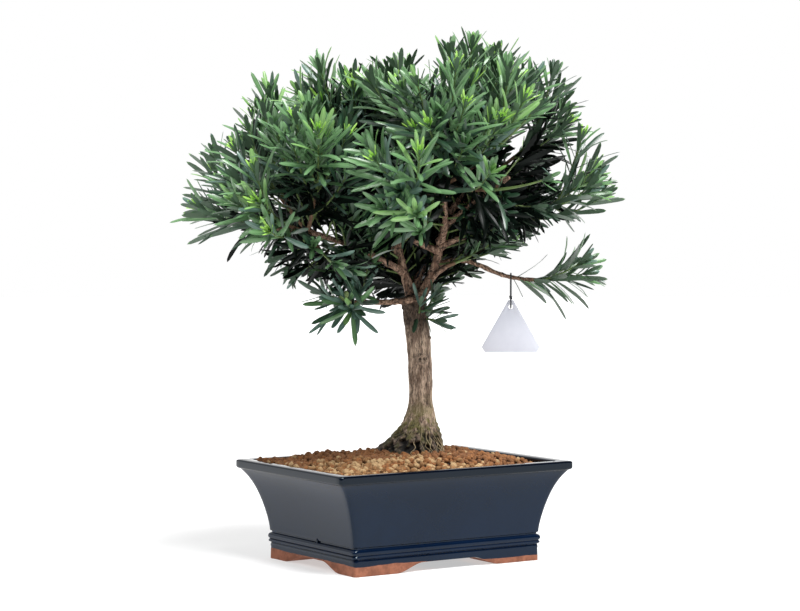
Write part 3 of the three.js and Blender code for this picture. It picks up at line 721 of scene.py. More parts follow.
limbs = [
    # name, parent, share of the parent where it starts, headings, rises, length, root and tip radius
    ("right_leader", "trunk", 0.93, (0, 8, -4), (52, 82, 40), 128, 5.0, 2.6),
    ("left_leader", "trunk", 0.96, (165, 140, 170), (66, 80, 62), 118, 4.6, 2.6),
    ("back_right", "trunk", 0.97, (75, 52, 40), (55, 46, 34), 118, 4.4, 2.4),
    ("low_left", "right_leader", 0.1, (250, 188, 180), (-22, -2, 2), 68, 3.7, 2.3),
    ("low_right", "right_leader", 0.2, (330, 340, 350), (42, 40, 36), 24, 2.4, 1.9),
    ("tagged", "right_leader", 0.33, (20, 4, 0), (26, -28, -2), 98, 2.5, 1.9),
    ("inner_left", "right_leader", 0.45, (205, 190, 205), (12, 30, 46), 54, 3.0, 2.2),
    ("inner_right", "right_leader", 0.47, (350, 355, 358), (30, 16, 9), 60, 3.0, 2.1),
    ("front", "right_leader", 0.52, (285, 268, 262), (30, 42, 42), 84, 3.2, 2.2),
    ("front_right", "right_leader", 0.64, (300, 318, 326), (22, 32, 28), 96, 3.0, 2.2),
    ("right", "right_leader", 0.82, (15, 8, 2), (12, 24, 22), 82, 2.9, 2.2),
    ("top", "right_leader", 0.7, (120, 100, 60), (70, 84, 84), 92, 3.0, 2.2),
    ("front_left", "left_leader", 0.24, (214, 214, 214), (26, 20, 14), 116, 3.3, 2.2),
    ("left", "left_leader", 0.4, (188, 180, 176), (40, 24, 16), 122, 3.4, 2.3),
    ("back_left", "left_leader", 0.46, (120, 132, 138), (30, 26, 20), 104, 3.2, 2.2),
    ("top_left", "left_leader", 0.78, (215, 205, 196), (56, 66, 64), 72, 2.9, 2.2),
    ("back", "back_right", 0.42, (100, 104, 108), (40, 34, 28), 84, 3.0, 2.2),
]


def bezier(start, bend, end, count):
    t = np.linspace(0, 1, count)[:, None]
    return (1 - t) ** 2 * np.array(start) + 2 * t * (1 - t) * np.array(bend) + t * t * np.array(end)


def threeStops(stops, t):
    start, middle, end = stops
    return start + (middle - start) * 2 * t if t < 0.5 else middle + (end - middle) * (2 * t - 1)


# Equal steps that turn evenly through the headings and rises, rounded into one curve.
def limbPath(start, headings, rises, length, steps=8, fine=10):
    points = [np.array(start)]
    for i in range(steps):
        t = (i + 0.5) / steps
        way = direction(threeStops(headings, t), threeStops(rises, t))
        points.append(points[-1] + way * length / steps)
    points = [2 * points[0] - points[1], *points, 2 * points[-1] - points[-2]]
    line = []
    for i in range(1, len(points) - 2):
        a, b, c, d = points[i - 1:i + 3]
        for j in range(fine):
            t = j / fine
            line.append(0.5 * (2 * b + (c - a) * t + (2 * a - 5 * b + 4 * c - d) * t ** 2
                               + (3 * b - a - 3 * c + d) * t ** 3))
    return np.array([*line, points[-2]])


paths = {"trunk": bezier(trunk["foot"], trunk["middle"], trunk["top"], 120)}
for name, parent, share, headings, rises, length, *_ in limbs:
    paths[name] = limbPath(atShare(paths[parent], share)[0], headings, rises, length)


# How far a heading lies from another, from -180 to 180.
def turnFrom(heading, centre):
    return (heading - centre + 540) % 360 - 180


def ridge(heading, centre, halfWidth):
    off = turnFrom(heading, centre) / halfWidth
    return math.exp(-off * off)


def rootFlare(heading, height):
    swelling = trunk["footSwelling"] * (1 - smooth(0, trunk["footHeight"], height))
    down = max(0, 1 - height / trunk["rootHeight"]) ** 1.5
    wide = sum(spread * ridge(heading, centre, half) for centre, spread, half in roots)
    narrow = sum(spread * ridge(heading + height * 0.5, centre, half) for centre, spread, half in ribs)
    return swelling + wide * down + narrow * smooth(34, 4, height)


# Depth of the bark at a point, and how far it lies down in a crack, from 0 to 1.
def barkRelief(point, grain, along):
    stretched = Vector((point[0], point[1], point[2] * along))
    bent = stretched / (grain * 3) + Vector((0, 0, 7))
    wander = noise.noise(bent) * 0.8
    crack = 1 - abs(noise.noise(stretched / grain + Vector((wander, wander, 0)))) * 2.6
    plates = noise.noise(stretched / (grain * 0.45))
    deep = smooth(0.45, 1.0, crack)
    return -deep + 0.3 * plates, deep


# A healed knot: its rim, its bowl, its pits, how far a place lies in it, and how dark it is: the knot's own
# darker wood, with painted shade in its pits.
def knotAt(heading, height):
    aside = math.radians(turnFrom(heading, knot["heading"])) * trunk["barkRadius"]
    above = height - knot["height"]
    away = math.hypot(aside, above * knot["squash"])
    rim = math.exp(-((away - knot["radius"]) / knot["rimWidth"]) ** 2)
    bowl = -knot["bowlDepth"] * (1 - smooth(*knot["bowl"], away))
    pit = sum(math.exp(-((aside - x) ** 2 + above ** 2) / knot["pitSize"]) for x in knot["pits"])
    inKnot = 1 - smooth(knot["radius"], knot["radius"] + 2.5, away)
    dark = inKnot * min(0.85, 0.35 + 0.6 * pit) * (1 - smooth(3.5, 5, away))
    return rim, bowl, pit, inKnot, dark


# Hollows open between the roots, wider on the plant's right, blackened with painted shade.
def hollowAt(heading, height):
    out = direction(heading)
    place = Vector((out[0] * 26, out[1] * 26, height * 0.8)) / hollows["size"] + Vector((3, 1, 0))
    openFrom = 0.1 - 0.26 * smooth(245, 280, heading % 360)
    isOpen = smooth(openFrom, openFrom + hollows["openTo"], noise.noise(place))
    return isOpen * smooth(*hollows["heights"], height) * (1 - 0.7 * ridge(heading, 168, 26))


def trunkSkin(bm):
    line = paths["trunk"]
    tall = line[-1][2] - line[0][2]
    rings = int(tall / trunk["ringEvery"])
    centres = np.array([atShare(line, i / rings)[0] for i in range(rings + 1)])
    centres[:, 2] = line[0][2] + np.linspace(0, tall, rings + 1)

    def measure(i, angle):
        height = centres[i][2] - centres[0][2] - 1.5
        heading = math.degrees(angle) + 270
        intoDome = max(0, (height - tall + trunk["dome"]) / trunk["dome"])
        body = trunk["radius"] + trunk["forkSwelling"] * height / tall
        body *= math.sqrt(max(0, 1 - intoDome ** 2))
        out = direction(heading)
        place = (out[0] * trunk["barkRadius"], out[1] * trunk["barkRadius"], height)
        depth, deep = barkRelief(place, *trunk["grain"])
        place = Vector(place)
        depth *= 0.5 + 0.35 * noise.noise(place / 9)
        deep *= 0.42 + 0.58 * max(smooth(40, 18, height), smooth(112, 128, height))
        lumps = 0.7 * noise.noise(place / 14)
        rough = sum(
            smooth(low, high, height) * trunk["roughDepth"] * noise.noise(place / size)
            for low, high, size in trunk["rough"]
        )
        rim, bowl, pit, inKnot, dark = knotAt(heading, height)
        hollow = hollowAt(heading, height)
        depth = depth * (1 - inKnot) - hollows["depth"] * hollow
        radius = body + rootFlare(heading, height) + depth + lumps + rough
        radius = radius + knot["rimHeight"] * rim + bowl - knot["pitDepth"] * pit
        # painted shade in cracks, knot pits and root hollows, with the knot's own darker wood
        seen = max(deep * (1 - inKnot), 0.5 * rim, dark, hollows["dark"] * hollow)
        return max(radius, 0.4), seen

    sweep(bm, centres, trunk["sides"], measure)


boughSkin = {"sides": 18, "ringEvery": 1.5, "grain": (0.8, 0.3), "scarEvery": 17}


def limbSkin(bm, limb, seed):
    name, parent, _, _, _, length, rootRadius, tipRadius = limb
    line = paths[name]
    count = int(length / boughSkin["ringEvery"])
    points = np.array([atShare(line, i / count)[0] for i in range(count + 1)])
    collarShare, collarReach = (0.9, 10) if parent == "trunk" else (0.55, 7)

    def measure(i, angle):
        t = i / count
        collar = collarShare * math.exp(-t * length / collarReach)
        plain = (rootRadius + (tipRadius - rootRadius) * t ** 0.8) * (1 + collar)
        place = (math.cos(angle) * plain + seed * 9, math.sin(angle) * plain, t * length)
        depth, deep = barkRelief(place, *boughSkin["grain"])
        # old leaf scars ring the wood
        scar = 0.35 * math.exp(-(((t * length) % boughSkin["scarEvery"]) / 2.2 - 1) ** 2)
        lumps = 0.5 * noise.noise(Vector(place) / 6)
        return plain + 0.32 * depth + scar + lumps, deep

    sweep(bm, points, boughSkin["sides"], measure)


bark = {
    # dark: the dark streaks, and painted shade in the cracks; hollow: painted shade in cracks and hollows
    # near the ground
    "light": srgb(216, 190, 166), "middle": srgb(136, 113, 96), "dark": srgb(30, 23, 18),
    "moss": srgb(108, 104, 54), "darkLow": srgb(24, 21, 16), "fork": srgb(54, 40, 30),
    "hollow": srgb(11, 10, 8), "boughLight": srgb(188, 154, 130), "bough": srgb(126, 96, 78),
    "roughness": 0.88, "stretch": (1, 1, 0.2),
    # scale, detail and roughness
    "streaks": (760.0, 6.0, 0.75), "flakes": (230.0, 5.0, 0.65), "patches": (130.0, 6.0),
    "flaked": (0.4, 0.6), "streaked": (0.36, 0.56), "relief": (0.5, 0.0012),
}
# From and to which height or noise, and how strong there.
weather = {
    "fork": (0.204, 0.23, 0.0, 0.85), "moss": (0.122, 0.164, 1.0, 0.0), "patches": (0.38, 0.56, 0.0, 0.9),
    "darkLow": (0.101, 0.136, 0.78, 0.0), "hollow": (0.112, 0.136),
}


# Bark streaked along the wood, with painted shade darkening its cracks where the relief is deep.
# weathered(tree, place, wood) gives the colours of the wood and of the painted shade in its cracks.
def barkMaterial(name, light, middle, streakShare, crackRange, weathered=None):
    material = newMaterial(name, middle, bark["roughness"])
    tree = material.node_tree
    place = addNode(tree, "TexCoord").outputs["Object"]
    stretched = addNode(tree, "Mapping", {"Vector": place, "Scale": bark["stretch"]}).outputs[0]
    streaks, flakes = (noiseOver(tree, stretched, *bark[kind]) for kind in ("streaks", "flakes"))
    wood = mixColors(tree, remap(tree, flakes, *bark["flaked"]), middle, light)
    wood = mixColors(tree, remap(tree, streaks, *bark["streaked"], streakShare, 0.0), wood, bark["dark"])
    crack = bark["dark"]
    if weathered:
        wood, crack = weathered(tree, place, wood)
    # the depth attribute marks painted shade: cracks, knot pits and root hollows
    depth = addNode(tree, "Attribute", attribute_name="depth").outputs["Fac"]
    color = mixColors(tree, remap(tree, depth, *crackRange), wood, crack)
    feed(shaderOf(material), {"Base Color": color, "Normal": addBump(tree, streaks, *bark["relief"])})
    return material


# Dark below the fork, mossy and darker towards the ground, with painted shade blackest in the cracks and
# hollows low between the roots.
def weatheredTrunk(tree, place, wood):
    height = addNode(tree, "SeparateXYZ", {0: place}).outputs["Z"]
    at = {key: remap(tree, height, *weather[key]) for key in ("fork", "moss", "darkLow", "hollow")}
    patches = remap(tree, noiseOver(tree, place, *bark["patches"]), *weather["patches"])
    wood = mixColors(tree, at["fork"], wood, bark["fork"])
    wood = mixColors(tree, calculate(tree, "MULTIPLY", at["moss"], patches), wood, bark["moss"])
    wood = mixColors(tree, at["darkLow"], wood, bark["darkLow"])
    return wood, mixColors(tree, at["hollow"], bark["hollow"], bark["dark"])


def addTrunk():
    bm = bmesh.new()
    trunkSkin(bm)
    addStub(bm)
    material = barkMaterial(
        "trunkBark", bark["light"], bark["middle"], 0.85, (0.1, 1.0, 0.0, 0.97), weatheredTrunk)
    addSolid("barkedTrunk", bm, 60, material, plantToRow, ["trunk"])
    print("trunk done")


def addLimbs():
    bm = bmesh.new()
    for seed, limb in enumerate(limbs):
        limbSkin(bm, limb, seed)
    material = barkMaterial("boughBark", bark["boughLight"], bark["bough"], 0.75, (0.1, 0.9, 0.0, 0.92))
    addSolid("barkedLimbs", bm, 60, material, plantToRow, ["bough_" + limb[0] for limb in limbs])
    print("boughs done")


stub = {
    "at": 0.69, "heading": 338, "rise": 30, "rings": (8, 10.6, 12.8, 14.6), "radius": 2.1, "taper": 0.28,
}


# The stump of a cut shoot on the trunk's right.
def addStub(bm):
    start = atShare(paths["trunk"], stub["at"])[0]
    out = direction(stub["heading"], stub["rise"])
    line = np.array([start + out * away for away in stub["rings"]])
    sweep(bm, line, 10, lambda i, angle: (stub["radius"] - stub["taper"] * i, 0))


rootlets = {
    "count": 13, "radius": 0.33, "seed": 93, "from": 262, "to": 344, "lowest": 6, "highest": 32,
    "turn": 8, "steps": 12, "sides": 6, "sunk": 1.5, "off": 0.2, "lift": 1.6,
    "look": (srgb(178, 160, 126), srgb(108, 92, 68), 260.0, 0.7, 0.3, 0.8),
}


# Thin pale roots that run down over the trunk's foot into the soil.
def addRootlets():
    bm = bmesh.new()
    random = makeRandom(rootlets["seed"])
    for _ in range(rootlets["count"]):
        heading = random(rootlets["from"], rootlets["to"])
        height = random(rootlets["lowest"], rootlets["highest"])
        turn = random(-rootlets["turn"], rootlets["turn"])
        line = []
        for i in range(rootlets["steps"] + 1):
            t = i / rootlets["steps"]
            h = height * (1 - t) - rootlets["sunk"] * t
            at = heading + turn * t + 3 * math.sin(9 * t + heading)
            radius = trunk["radius"] + rootFlare(at, max(h, 0)) + rootlets["off"]
            radius = radius + rootlets["lift"] * math.sin(math.pi * t) + 3 * t ** 3
            line.append(direction(at) * radius + np.array((*trunk["foot"][:2], soil["top"] + h)))
        thick = rootlets["radius"] * random(0.6, 1.7)
        sweep(bm, np.array(line), rootlets["sides"], lambda i, angle: (thick * (1 - 0.04 * i), 0))
    material = mottledMaterial("paleRoot", *rootlets["look"])
    addSolid("surfaceRootlets", bm, 70, material, plantToRow)


# It rises more on the right. Each mass grows from the bough whose tip lies nearest to a point
# inward of the mass's own end.
crown = {
    "middle": (-3, 6, 284), "radius": 193, "tilt": 4, "inward": 0.5, "sag": 0.1, "massMiddle": 0.62,
    "shut": ("tagged", "low_left", "low_right", "inner_left"), "trunkShootAt": 0.87,
    "seed": 7001, "seedStep": 131,
}
tiers = [
    # name, count, rise, first heading, step, reach, lean
    ("hanging", 3, 3, 150, 42, 0.55, 0),
    ("skirt", 8, 20, 0, 45, 1.0, 0.02),
    ("shoulder", 9, 39, 2, 40, 1.02, 0.06),
    ("corner", 2, 52, 0, 180, 1.02, 0.02),
    ("upper", 6, 64, 30, 60, 0.94, 0.05),
    ("crest", 2, 80, 200, 180, 0.79, 0.02),
]
reaches = [
    # name, bough, heading, rise, reach
    ("low_left", "low_left", 250, 0, 40),
    ("low_left_outer", "low_left", 172, 12, 34),
    ("low_left_upright", "low_left", 248, 58, 88),
    ("tagged", "tagged", 0, 6, 50),
    ("low_right", "low_right", 352, 30, 52),
    ("inner_left", "inner_left", 235, 62, 70),
    ("trunk_shoot", "trunk", 330, -12, 22),
]
goldenTurn = 137.5
shoots = {
    "sideEvery": 18,  # stem for each side shoot
    "sideFirst": 0.06, "sideReach": 0.7, "sideLength": 0.95, "shortening": 0.72, "vary": (0.82, 1.08),
    "sideSpread": (20, 34),
    "sideShortest": 46, "sideLongest": 122,
    "lowLength": 60, "lowShortest": 26, "lowLongest": 44,  # side shoots of the low masses shorter than this
    "lift": 0.26, "lowLift": 0.14,  # how far a side shoot turns up, as a share of its length
    "leafEvery": 2.9,  # along the outer stretch of a shoot
    "leafy": 140,  # its length
    "innerEvery": 5.5,  # along the rest
    "overlap": 10,  # how far a shoot may reach into its neighbour's space
    "forkShares": (0.03, 0.08, 0.15, 0.28),  # more of them, behind the fork
    "innerShares": (0.1, 0.22, 0.34, 0.46, 0.58, 0.7, 0.82),  # places of the short shoots on a bough
    "innerLength": (36, 60), "innerSpread": (46, 70), "innerLift": 0.1,
    "innerSeed": 501, "innerSeedStep": 37,
    "leaderTurns": (0, 90, 180, 270), "boughTurns": (0, 120, 240), "behindFork": 12,
    "stemRadius": 1.7, "sideRadius": 1.1, "tipRadius": 0.7,
    "youngLook": (srgb(104, 128, 70), srgb(80, 92, 54), 160.0, 0.6, 0.2, 0.55),
    "woodyLook": (srgb(128, 100, 76), srgb(76, 56, 42), 200.0, 0.8, 0.5, 0.85),
}
leafShape = {"length": 45, "width": 4.7, "thickness": 0.5, "midrib": 0.13, "tipRise": 0.3, "droop": 0.07}
leafOutline = [(0, 0.18), (0.1, 0.44), (0.28, 0.78), (0.55, 0.98), (0.78, 0.98), (0.93, 0.66)]
# The last leaves of a lime-green shoot (True) and of any other: how many, how far they spread, how
# long they are, how much shorter the last one is, and how wide they are.
tipLeaves = {True: (11, 26, 19, 8, 2.3), False: (6, 34, 24, 10, 3.9)}
forkWindow = {"low": (-14, -200, 253), "high": (66, 14, 300)}  # open in front of the fork
leaderView = {"top": 352, "half": 12, "behind": 16}  # and along the right leader above it
# Gaps that show the sky through the whole crown, as seen from the best side: x, z and half sizes.
skyGaps = [
    (-68, 303, 11, 12), (-76, 319, 9, 5), (-121, 344, 6, 7), (111, 404, 7, 8), (102, 387, 6, 6),
    (148, 375, 7, 6), (22, 475, 14, 13), (150, 310, 10, 11), (-96, 256, 7, 7), (-170, 307, 10, 5),
    (-151, 433, 9, 7), (-111, 459, 9, 6), (184, 423, 7, 8), (-166, 396, 5, 6), (-164, 421, 5, 5),
    (70, 271, 13, 5), (145, 289, 5, 10), (90, 280, 14, 8), (114, 290, 14, 10),
]
eye = {"x": -3.6, "y": -2331, "z": 335}
# A hollow in the crown's right side, open in front, with painted shade on the leaves behind it.
darkSide = {"x": 116, "z": 370, "halfX": 33, "halfZ": 56, "front": -60, "open": 0.8, "shade": 0.7}
# The crown's underside rises like a cone from the fork, lower on the plant's left.
underside = {"middle": (10, 15), "height": 252, "tilt": 25, "near": 60, "slope": 0.55}
lowMasses = ("low_left", "low_left_outer", "low_left_upright", "tagged", "low_right", "trunk_shoot")
lowest = {"shoots": 222, "leaves": 206}  # how low they reach in those


def layOutMasses():
    tips = {limb[0]: paths[limb[0]][-1] for limb in limbs if limb[0] not in crown["shut"]}
    middle = np.array(crown["middle"])
    masses = []
    for name, count, rise, first, step, reach, lean in tiers:
        for i in range(count):
            heading = first + i * step
            out = direction(heading, rise + crown["tilt"] * math.cos(math.radians(heading)))
            end = middle + out * crown["radius"] * (reach + lean * np.sign(round(out[0], 9)))
            inward = middle + out * crown["radius"] * crown["inward"]
            bough = min(tips, key=lambda tip: np.linalg.norm(tips[tip] - inward))
            masses.append({"name": f"{name}_{i + 1}", "bough": bough, "start": tips[bough], "end": end})
    for name, bough, heading, rise, reach in reaches:
        start = atShare(paths["trunk"], crown["trunkShootAt"])[0] if bough == "trunk" else paths[bough][-1]
        end = start + direction(heading, rise) * reach
        masses.append({"name": name, "bough": bough, "start": start, "end": end})
    for i, mass in enumerate(masses):
        chord = mass["end"] - mass["start"]
        bend = mass["start"] + chord * 0.5 - np.array((0, 0, np.linalg.norm(chord) * crown["sag"]))
        mass["stem"] = bezier(mass["start"], bend, mass["end"], 41)
        mass["length"] = lineLength(mass["stem"])
        mass["middle"] = atShare(mass["stem"], crown["massMiddle"])[0]
        mass["seed"] = crown["seed"] + crown["seedStep"] * i
        mass["isLow"] = mass["name"] in lowMasses
    return masses


masses = layOutMasses()
massMiddles = np.array([mass["middle"] for mass in masses])
limbPoints = np.concatenate([paths[limb[0]][::4] for limb in limbs] + [paths["trunk"][::4]])
limbRoom = np.concatenate(
    [np.full(len(paths[limb[0]][::4]), limb[6] + 0.6) for limb in limbs]
    + [np.full(len(paths["trunk"][::4]), trunk["radius"] + 1.5)]
)


# Whether a point lies nearer to its mass's middle than to any other, give or take an overlap.
def inOwnSpace(index, point, overlap):
    own = massMiddles[index]
    away = own - np.delete(massMiddles, index, axis=0)
    halfway = own - away / 2
    past = ((point - halfway) * away).sum(axis=1) / np.linalg.norm(away, axis=1)
    return past.min() > -overlap


# How far a point lies out from the fork, and how high above the crown's underside.
def overUnderside(point):
    dx, dy = point[0] - underside["middle"][0], point[1] - underside["middle"][1]
    out = math.hypot(dx, dy)
    level = underside["height"] + underside["tilt"] * dx / max(out, 1)
    return out, point[2] - level - underside["slope"] * (out - underside["near"])


def isAboveUnderside(point, slack=0):
    return overUnderside(point)[1] + slack > 0

# How far out a point lies from the middle of the crown's dark hollow, where 1 is its edge.
def fromDarkSide(point):
    asideX = (point[0] - darkSide["x"]) / darkSide["halfX"]
    return math.hypot(asideX, (point[2] - darkSide["z"]) / darkSide["halfZ"])


# Clear of every limb, of the open views to the fork and the dark hollow, and of the gaps that show the sky.
def isFree(point):
    low, high = forkWindow["low"], forkWindow["high"]
    if all(low[i] < point[i] < high[i] for i in range(3)):
        return False
    if point[1] < darkSide["front"] and fromDarkSide(point) < darkSide["open"]:
        return False
    leader = paths["right_leader"]
    if leader[0][2] < point[2] < leaderView["top"] and point[1] < leaderView["behind"]:
        if abs(point[0] - np.interp(point[2], leader[:, 2], leader[:, 0])) < leaderView["half"]:
            return False
    nearness = (trunk["foot"][1] - eye["y"]) / (point[1] - eye["y"])
    seenX, seenZ = (eye[axis] + (point[i] - eye[axis]) * nearness for axis, i in (("x", 0), ("z", 2)))
    if any(abs(seenX - x) < halfX and abs(seenZ - z) < halfZ for x, z, halfX, halfZ in skyGaps):
        return False
    return bool((np.linalg.norm(limbPoints - point, axis=1) > limbRoom).all())


# Where a leaf or shoot leaves a line: its root, its direction and its upper face.
def shootFrame(line, t, turn, spread):
    root, tangent = atShare(line, t)
    level = np.array((0, 0, 1) if abs(tangent[2]) < 0.95 else (1, 0, 0))
    side = unit(np.cross(level, tangent))
    up = np.cross(tangent, side)
    out = side * math.cos(math.radians(turn)) + up * math.sin(math.radians(turn))
    along = tangent * math.cos(math.radians(spread)) + out * math.sin(math.radians(spread))
    face = unit(tangent - along * np.dot(tangent, along))
    return root, along, face


# A shoot that leaves a line and turns up towards its tip.
def growShoot(line, t, turn, spread, length, lift):
    root, along, _ = shootFrame(line, t, turn, spread)
    end = root + along * length * (1 - 0.3 * lift) + np.array((0, 0, length * lift))
    return bezier(root, root + along * length * 0.55, end, 21)


# Side shoots leave the stem in a spiral and reach nearly as far out as the stem does.
def sideShoots(index, mass, random):
    count = round(mass["length"] / shoots["sideEvery"]) + 1
    kind = "low" if mass["isLow"] and mass["length"] < shoots["lowLength"] else "side"
    lift = shoots["lowLift" if mass["isLow"] else "lift"]
    made = []
    for i in range(count):
        t = shoots["sideFirst"] + shoots["sideReach"] * i / count
        length = mass["length"] * shoots["sideLength"] * (1 - shoots["shortening"] * t)
        length *= random(*shoots["vary"])
        length = min(max(length, shoots[kind + "Shortest"]), shoots[kind + "Longest"])
        turn, spread = random(0, 60) + goldenTurn * i, random(*shoots["sideSpread"])
        line = growShoot(mass["stem"], t, turn, spread, length, lift)
        tests = [atShare(line, share)[0] for share in (0.5, 0.8, 1)]
        isHigh = (lambda point: point[2] > lowest["shoots"]) if mass["isLow"] else isAboveUnderside
        if not all(isHigh(point) for point in tests):
            continue
        if all(inOwnSpace(index, point, shoots["overlap"]) and isFree(point) for point in tests):
            made.append(line)
    return made


# Short shaded shoots along the boughs, which close the crown's inside behind the fork.
def innerShoots():
    made = []
    for number, (name, parent, *_) in enumerate(limbs):
        if name in ("tagged", "low_right", "low_left"):
            continue
        random = makeRandom(shoots["innerSeed"] + shoots["innerSeedStep"] * number)
        isLeader = parent == "trunk"
        shares = (shoots["forkShares"] if isLeader else ()) + shoots["innerShares"]
        for i, t in enumerate(shares):
            for first in shoots["leaderTurns" if isLeader else "boughTurns"]:
                length = random(*shoots["innerLength"])
                turn = random(0, 60) + goldenTurn * i + first
                spread = random(*shoots["innerSpread"])
                line = growShoot(paths[name], t, turn, spread, length, shoots["innerLift"])
                tests = [atShare(line, share)[0] for share in (0.5, 0.8, 1)]
                isBehind = t > 0.3 or line[-1][1] > paths["trunk"][-1][1] + shoots["behindFork"]
                if isBehind and all(isFree(point) and isAboveUnderside(point, 4) for point in tests):
                    made.append(line)
    return made


leafTones = {
    # Shade is painted shade: near-black leaves for the crown's inside
    "Shade": (srgb(6, 14, 10), srgb(12, 23, 16)),
    "Deep": (srgb(33, 63, 44), srgb(58, 90, 63)),
    # Blue is a painted sheen: the grey-blue of light reflected off glossy leaves
    "Blue": (srgb(80, 110, 98), srgb(110, 138, 122)),
    "Green": (srgb(81, 120, 77), srgb(116, 154, 106)),
    "Fresh": (srgb(110, 154, 86), srgb(144, 184, 116)),
    "Lime": (srgb(152, 204, 88), srgb(186, 224, 124)),
}
leafLook = {
    "underside": srgb(84, 106, 86), "mottle": (55.0, 0.4, 0.08, 0.32),  # scale, amount, relief, roughness
    "specular": 0.6, "shadeSpecular": 0.15,
    "shadeBelow": 0.3, "deepBelow": 0.58, "freshFrom": 1.08,  # values of its tone
}


# Painted shade: leaves darker towards the crown's inside and in its dark hollow, where shade falls,
# and towards a shoot's foot, where they are older and shaded.
def leafTone(tone, sheenShare, t, root, isLow, random):
    outness = np.linalg.norm(root - np.array(crown["middle"])) / crown["radius"]
    out, height = overUnderside(root)
    # leaves along the crown's lower edge show from outside, so they get less painted shade
    edge = smooth(44, 14, height) * smooth(45, 85, out)
    shade = 0 if isLow else 1.9 * (1 - 0.8 * edge) * min(0, outness - 0.8) + 0.14 * edge
    inDark = smooth(1.2, 0.7, fromDarkSide(root)) * smooth(-90, -30, root[1]) * smooth(1, 0.8, outness)
    shade -= darkSide["shade"] * inDark
    value = tone + 0.6 * (t - 0.62) + shade + random(-0.14, 0.14)
    if value < leafLook["shadeBelow"] and not isLow and edge < 0.5 and height > 8:
        return "Shade"
    if value < leafLook["deepBelow"]:
        return "Blue" if random() < sheenShare else "Deep"
    if value < leafLook["freshFrom"]:
        return "Blue" if random() < sheenShare * 0.5 else "Green"
    return "Fresh"


def addLeaf(dealt, tone, frame, length, width, *turns):
    root, along, face = frame
    along = unit(along - np.array((0, 0, leafShape["droop"])))
    face = unit(face - along * np.dot(face, along))
    dealt[tone].append((*root, *along, *face, length, width, *(math.radians(turn) for turn in turns)))


# Leaves in a spiral along a shoot, sparse on its inner stretch and closing forward at its tip.
def leavesOn(line, firstShare, tone, sheenShare, isLime, random, dealt, size=1.0, isLow=False):
    length = lineLength(line)
    outer = max(firstShare, 1 - shoots["leafy"] / length)
    shares = list(np.arange(firstShare, outer, shoots["innerEvery"] / length))
    innerCount = len(shares)
    shares += list(np.arange(outer, 0.985, shoots["leafEvery"] / length))
    firstTurn = random(0, 360)
    for i, t in enumerate(shares):
        share = max(0, (t - outer) / (1 - outer))
        spread = 47 - 11 * share - 20 * share ** 3 + random(-3, 3)
        frame = shootFrame(line, t, firstTurn + goldenTurn * i, spread)
        leafLength = leafShape["length"] * size * random(0.82, 1.12)
        middling = 0.78 + 0.3 * math.sin(math.pi * min(share + 0.15, 1))
        leafLength *= middling * (1 - 0.38 * smooth(0.84, 1, share))
        tests = [frame[0] + frame[1] * leafLength * s for s in (0.35, 0.65, 0.95)]
        isHighEnough = tests[-1][2] > lowest["leaves"] if isLow else isAboveUnderside(tests[-1], 8)
        if not isHighEnough or not all(isFree(point) for point in tests):
            continue
        # painted shade: leaves on a shoot's inner stretch are dealt a darker tone
        own = leafTone(tone - (0.3 if i < innerCount else 0), sheenShare, t, frame[0], isLow, random)
        width = leafShape["width"] * random(0.84, 1.14) * size ** 0.4
        bend = random(6, 38) * (1 - 0.35 * share)
        addLeaf(dealt, own, frame, leafLength, width, bend, random(-13, 13), random(-14, 14))
    isFresh = random() < 0.25 and tone > 0.4
    plainTone = "Fresh" if isFresh else "Green" if tone > 0.5 else "Deep"
    tipTone = "Lime" if isLime else "Blue" if isLow else plainTone
    count, spread, tipLength, shortening, width = tipLeaves[isLime]
    for i in range(count):
        share = i / (count - 1)
        turn = firstTurn + goldenTurn * (len(shares) + i)
        frame = shootFrame(line, 0.98 + 0.02 * share, turn, spread * (1 - 0.8 * share) + random(-4, 4))
        leafLength = (tipLength - shortening * share) * random(0.85, 1.2)
        addLeaf(dealt, tipTone, frame, leafLength, width, random(-8, 14), random(-14, 14), 0)


# One flat leaf: corners as half widths, shares of its length and shares of its thickness. Its faces'
# kinds are 0 for the blade, 1 for the midrib and 2 for the underside.
def leafTemplate():
    bm = bmesh.new()
    m = leafShape["midrib"]
    width = leafOutline[0][1]
    ring = [bm.verts.new((x * width, 0, z)) for x, z in ((-1, 0), (-m / width, 1), (m / width, 1), (1, 0))]
    firstEdges = edges = [bm.edges.new((ring[i], ring[(i + 1) % 4])) for i in range(4)]
    for share, nextWidth in leafOutline[1:]:
        ring, edges = extrude(bm, edges)
        for vert in ring:
            vert.co.x *= 1 if vert.co.z > 0.5 else nextWidth / width
            vert.co.y = share
        width = nextWidth
    bmesh.ops.edgeloop_fill(bm, edges=firstEdges)
    tip, _ = extrude(bm, edges)
    bmesh.ops.pointmerge(bm, verts=tip, merge_co=(0, 1, leafShape["tipRise"]))
    bmesh.ops.recalc_face_normals(bm, faces=bm.faces)
    bm.verts.index_update()
    bm.normal_update()
    corners, faces = cornersAndFaces(bm)
    kinds = []
    for face in bm.faces:
        isRib = all(abs(vert.co.x) < m * 1.1 for vert in face.verts)
        kinds.append(2 if face.normal.z < -0.5 else 1 if isRib and face.normal.z > 0.5 else 0)
    bm.free()
    return corners, faces, kinds


# Every leaf's corners: the flat leaf bent back along its length, rolled and twisted.
def bentLeaves(rows, corners):
    root, along, face = rows[:, None, 0:3], rows[:, None, 3:6], rows[:, None, 6:9]
    length, width, bend, roll, twist = (rows[:, None, i:i + 1] for i in range(9, 14))
    x, s, z = (corners[None, :, i:i + 1] for i in range(3))
    turned = np.where(np.abs(bend) < 1e-3, 1e-3, bend)
    # most of the bend lies in the outer half
    arc = turned * s * s
    centre = root + length * (along * (s - turned * turned * s ** 5 / 10) - face * turned * s ** 3 / 3)
    across, normal = np.cross(along, face), face * np.cos(arc) + along * np.sin(arc)
    angle = roll + twist * s
    sideways = across * np.cos(angle) + normal * np.sin(angle)
    upward = normal * np.cos(angle) - across * np.sin(angle)
    return centre + sideways * x * width / 2 + upward * z * leafShape["thickness"]


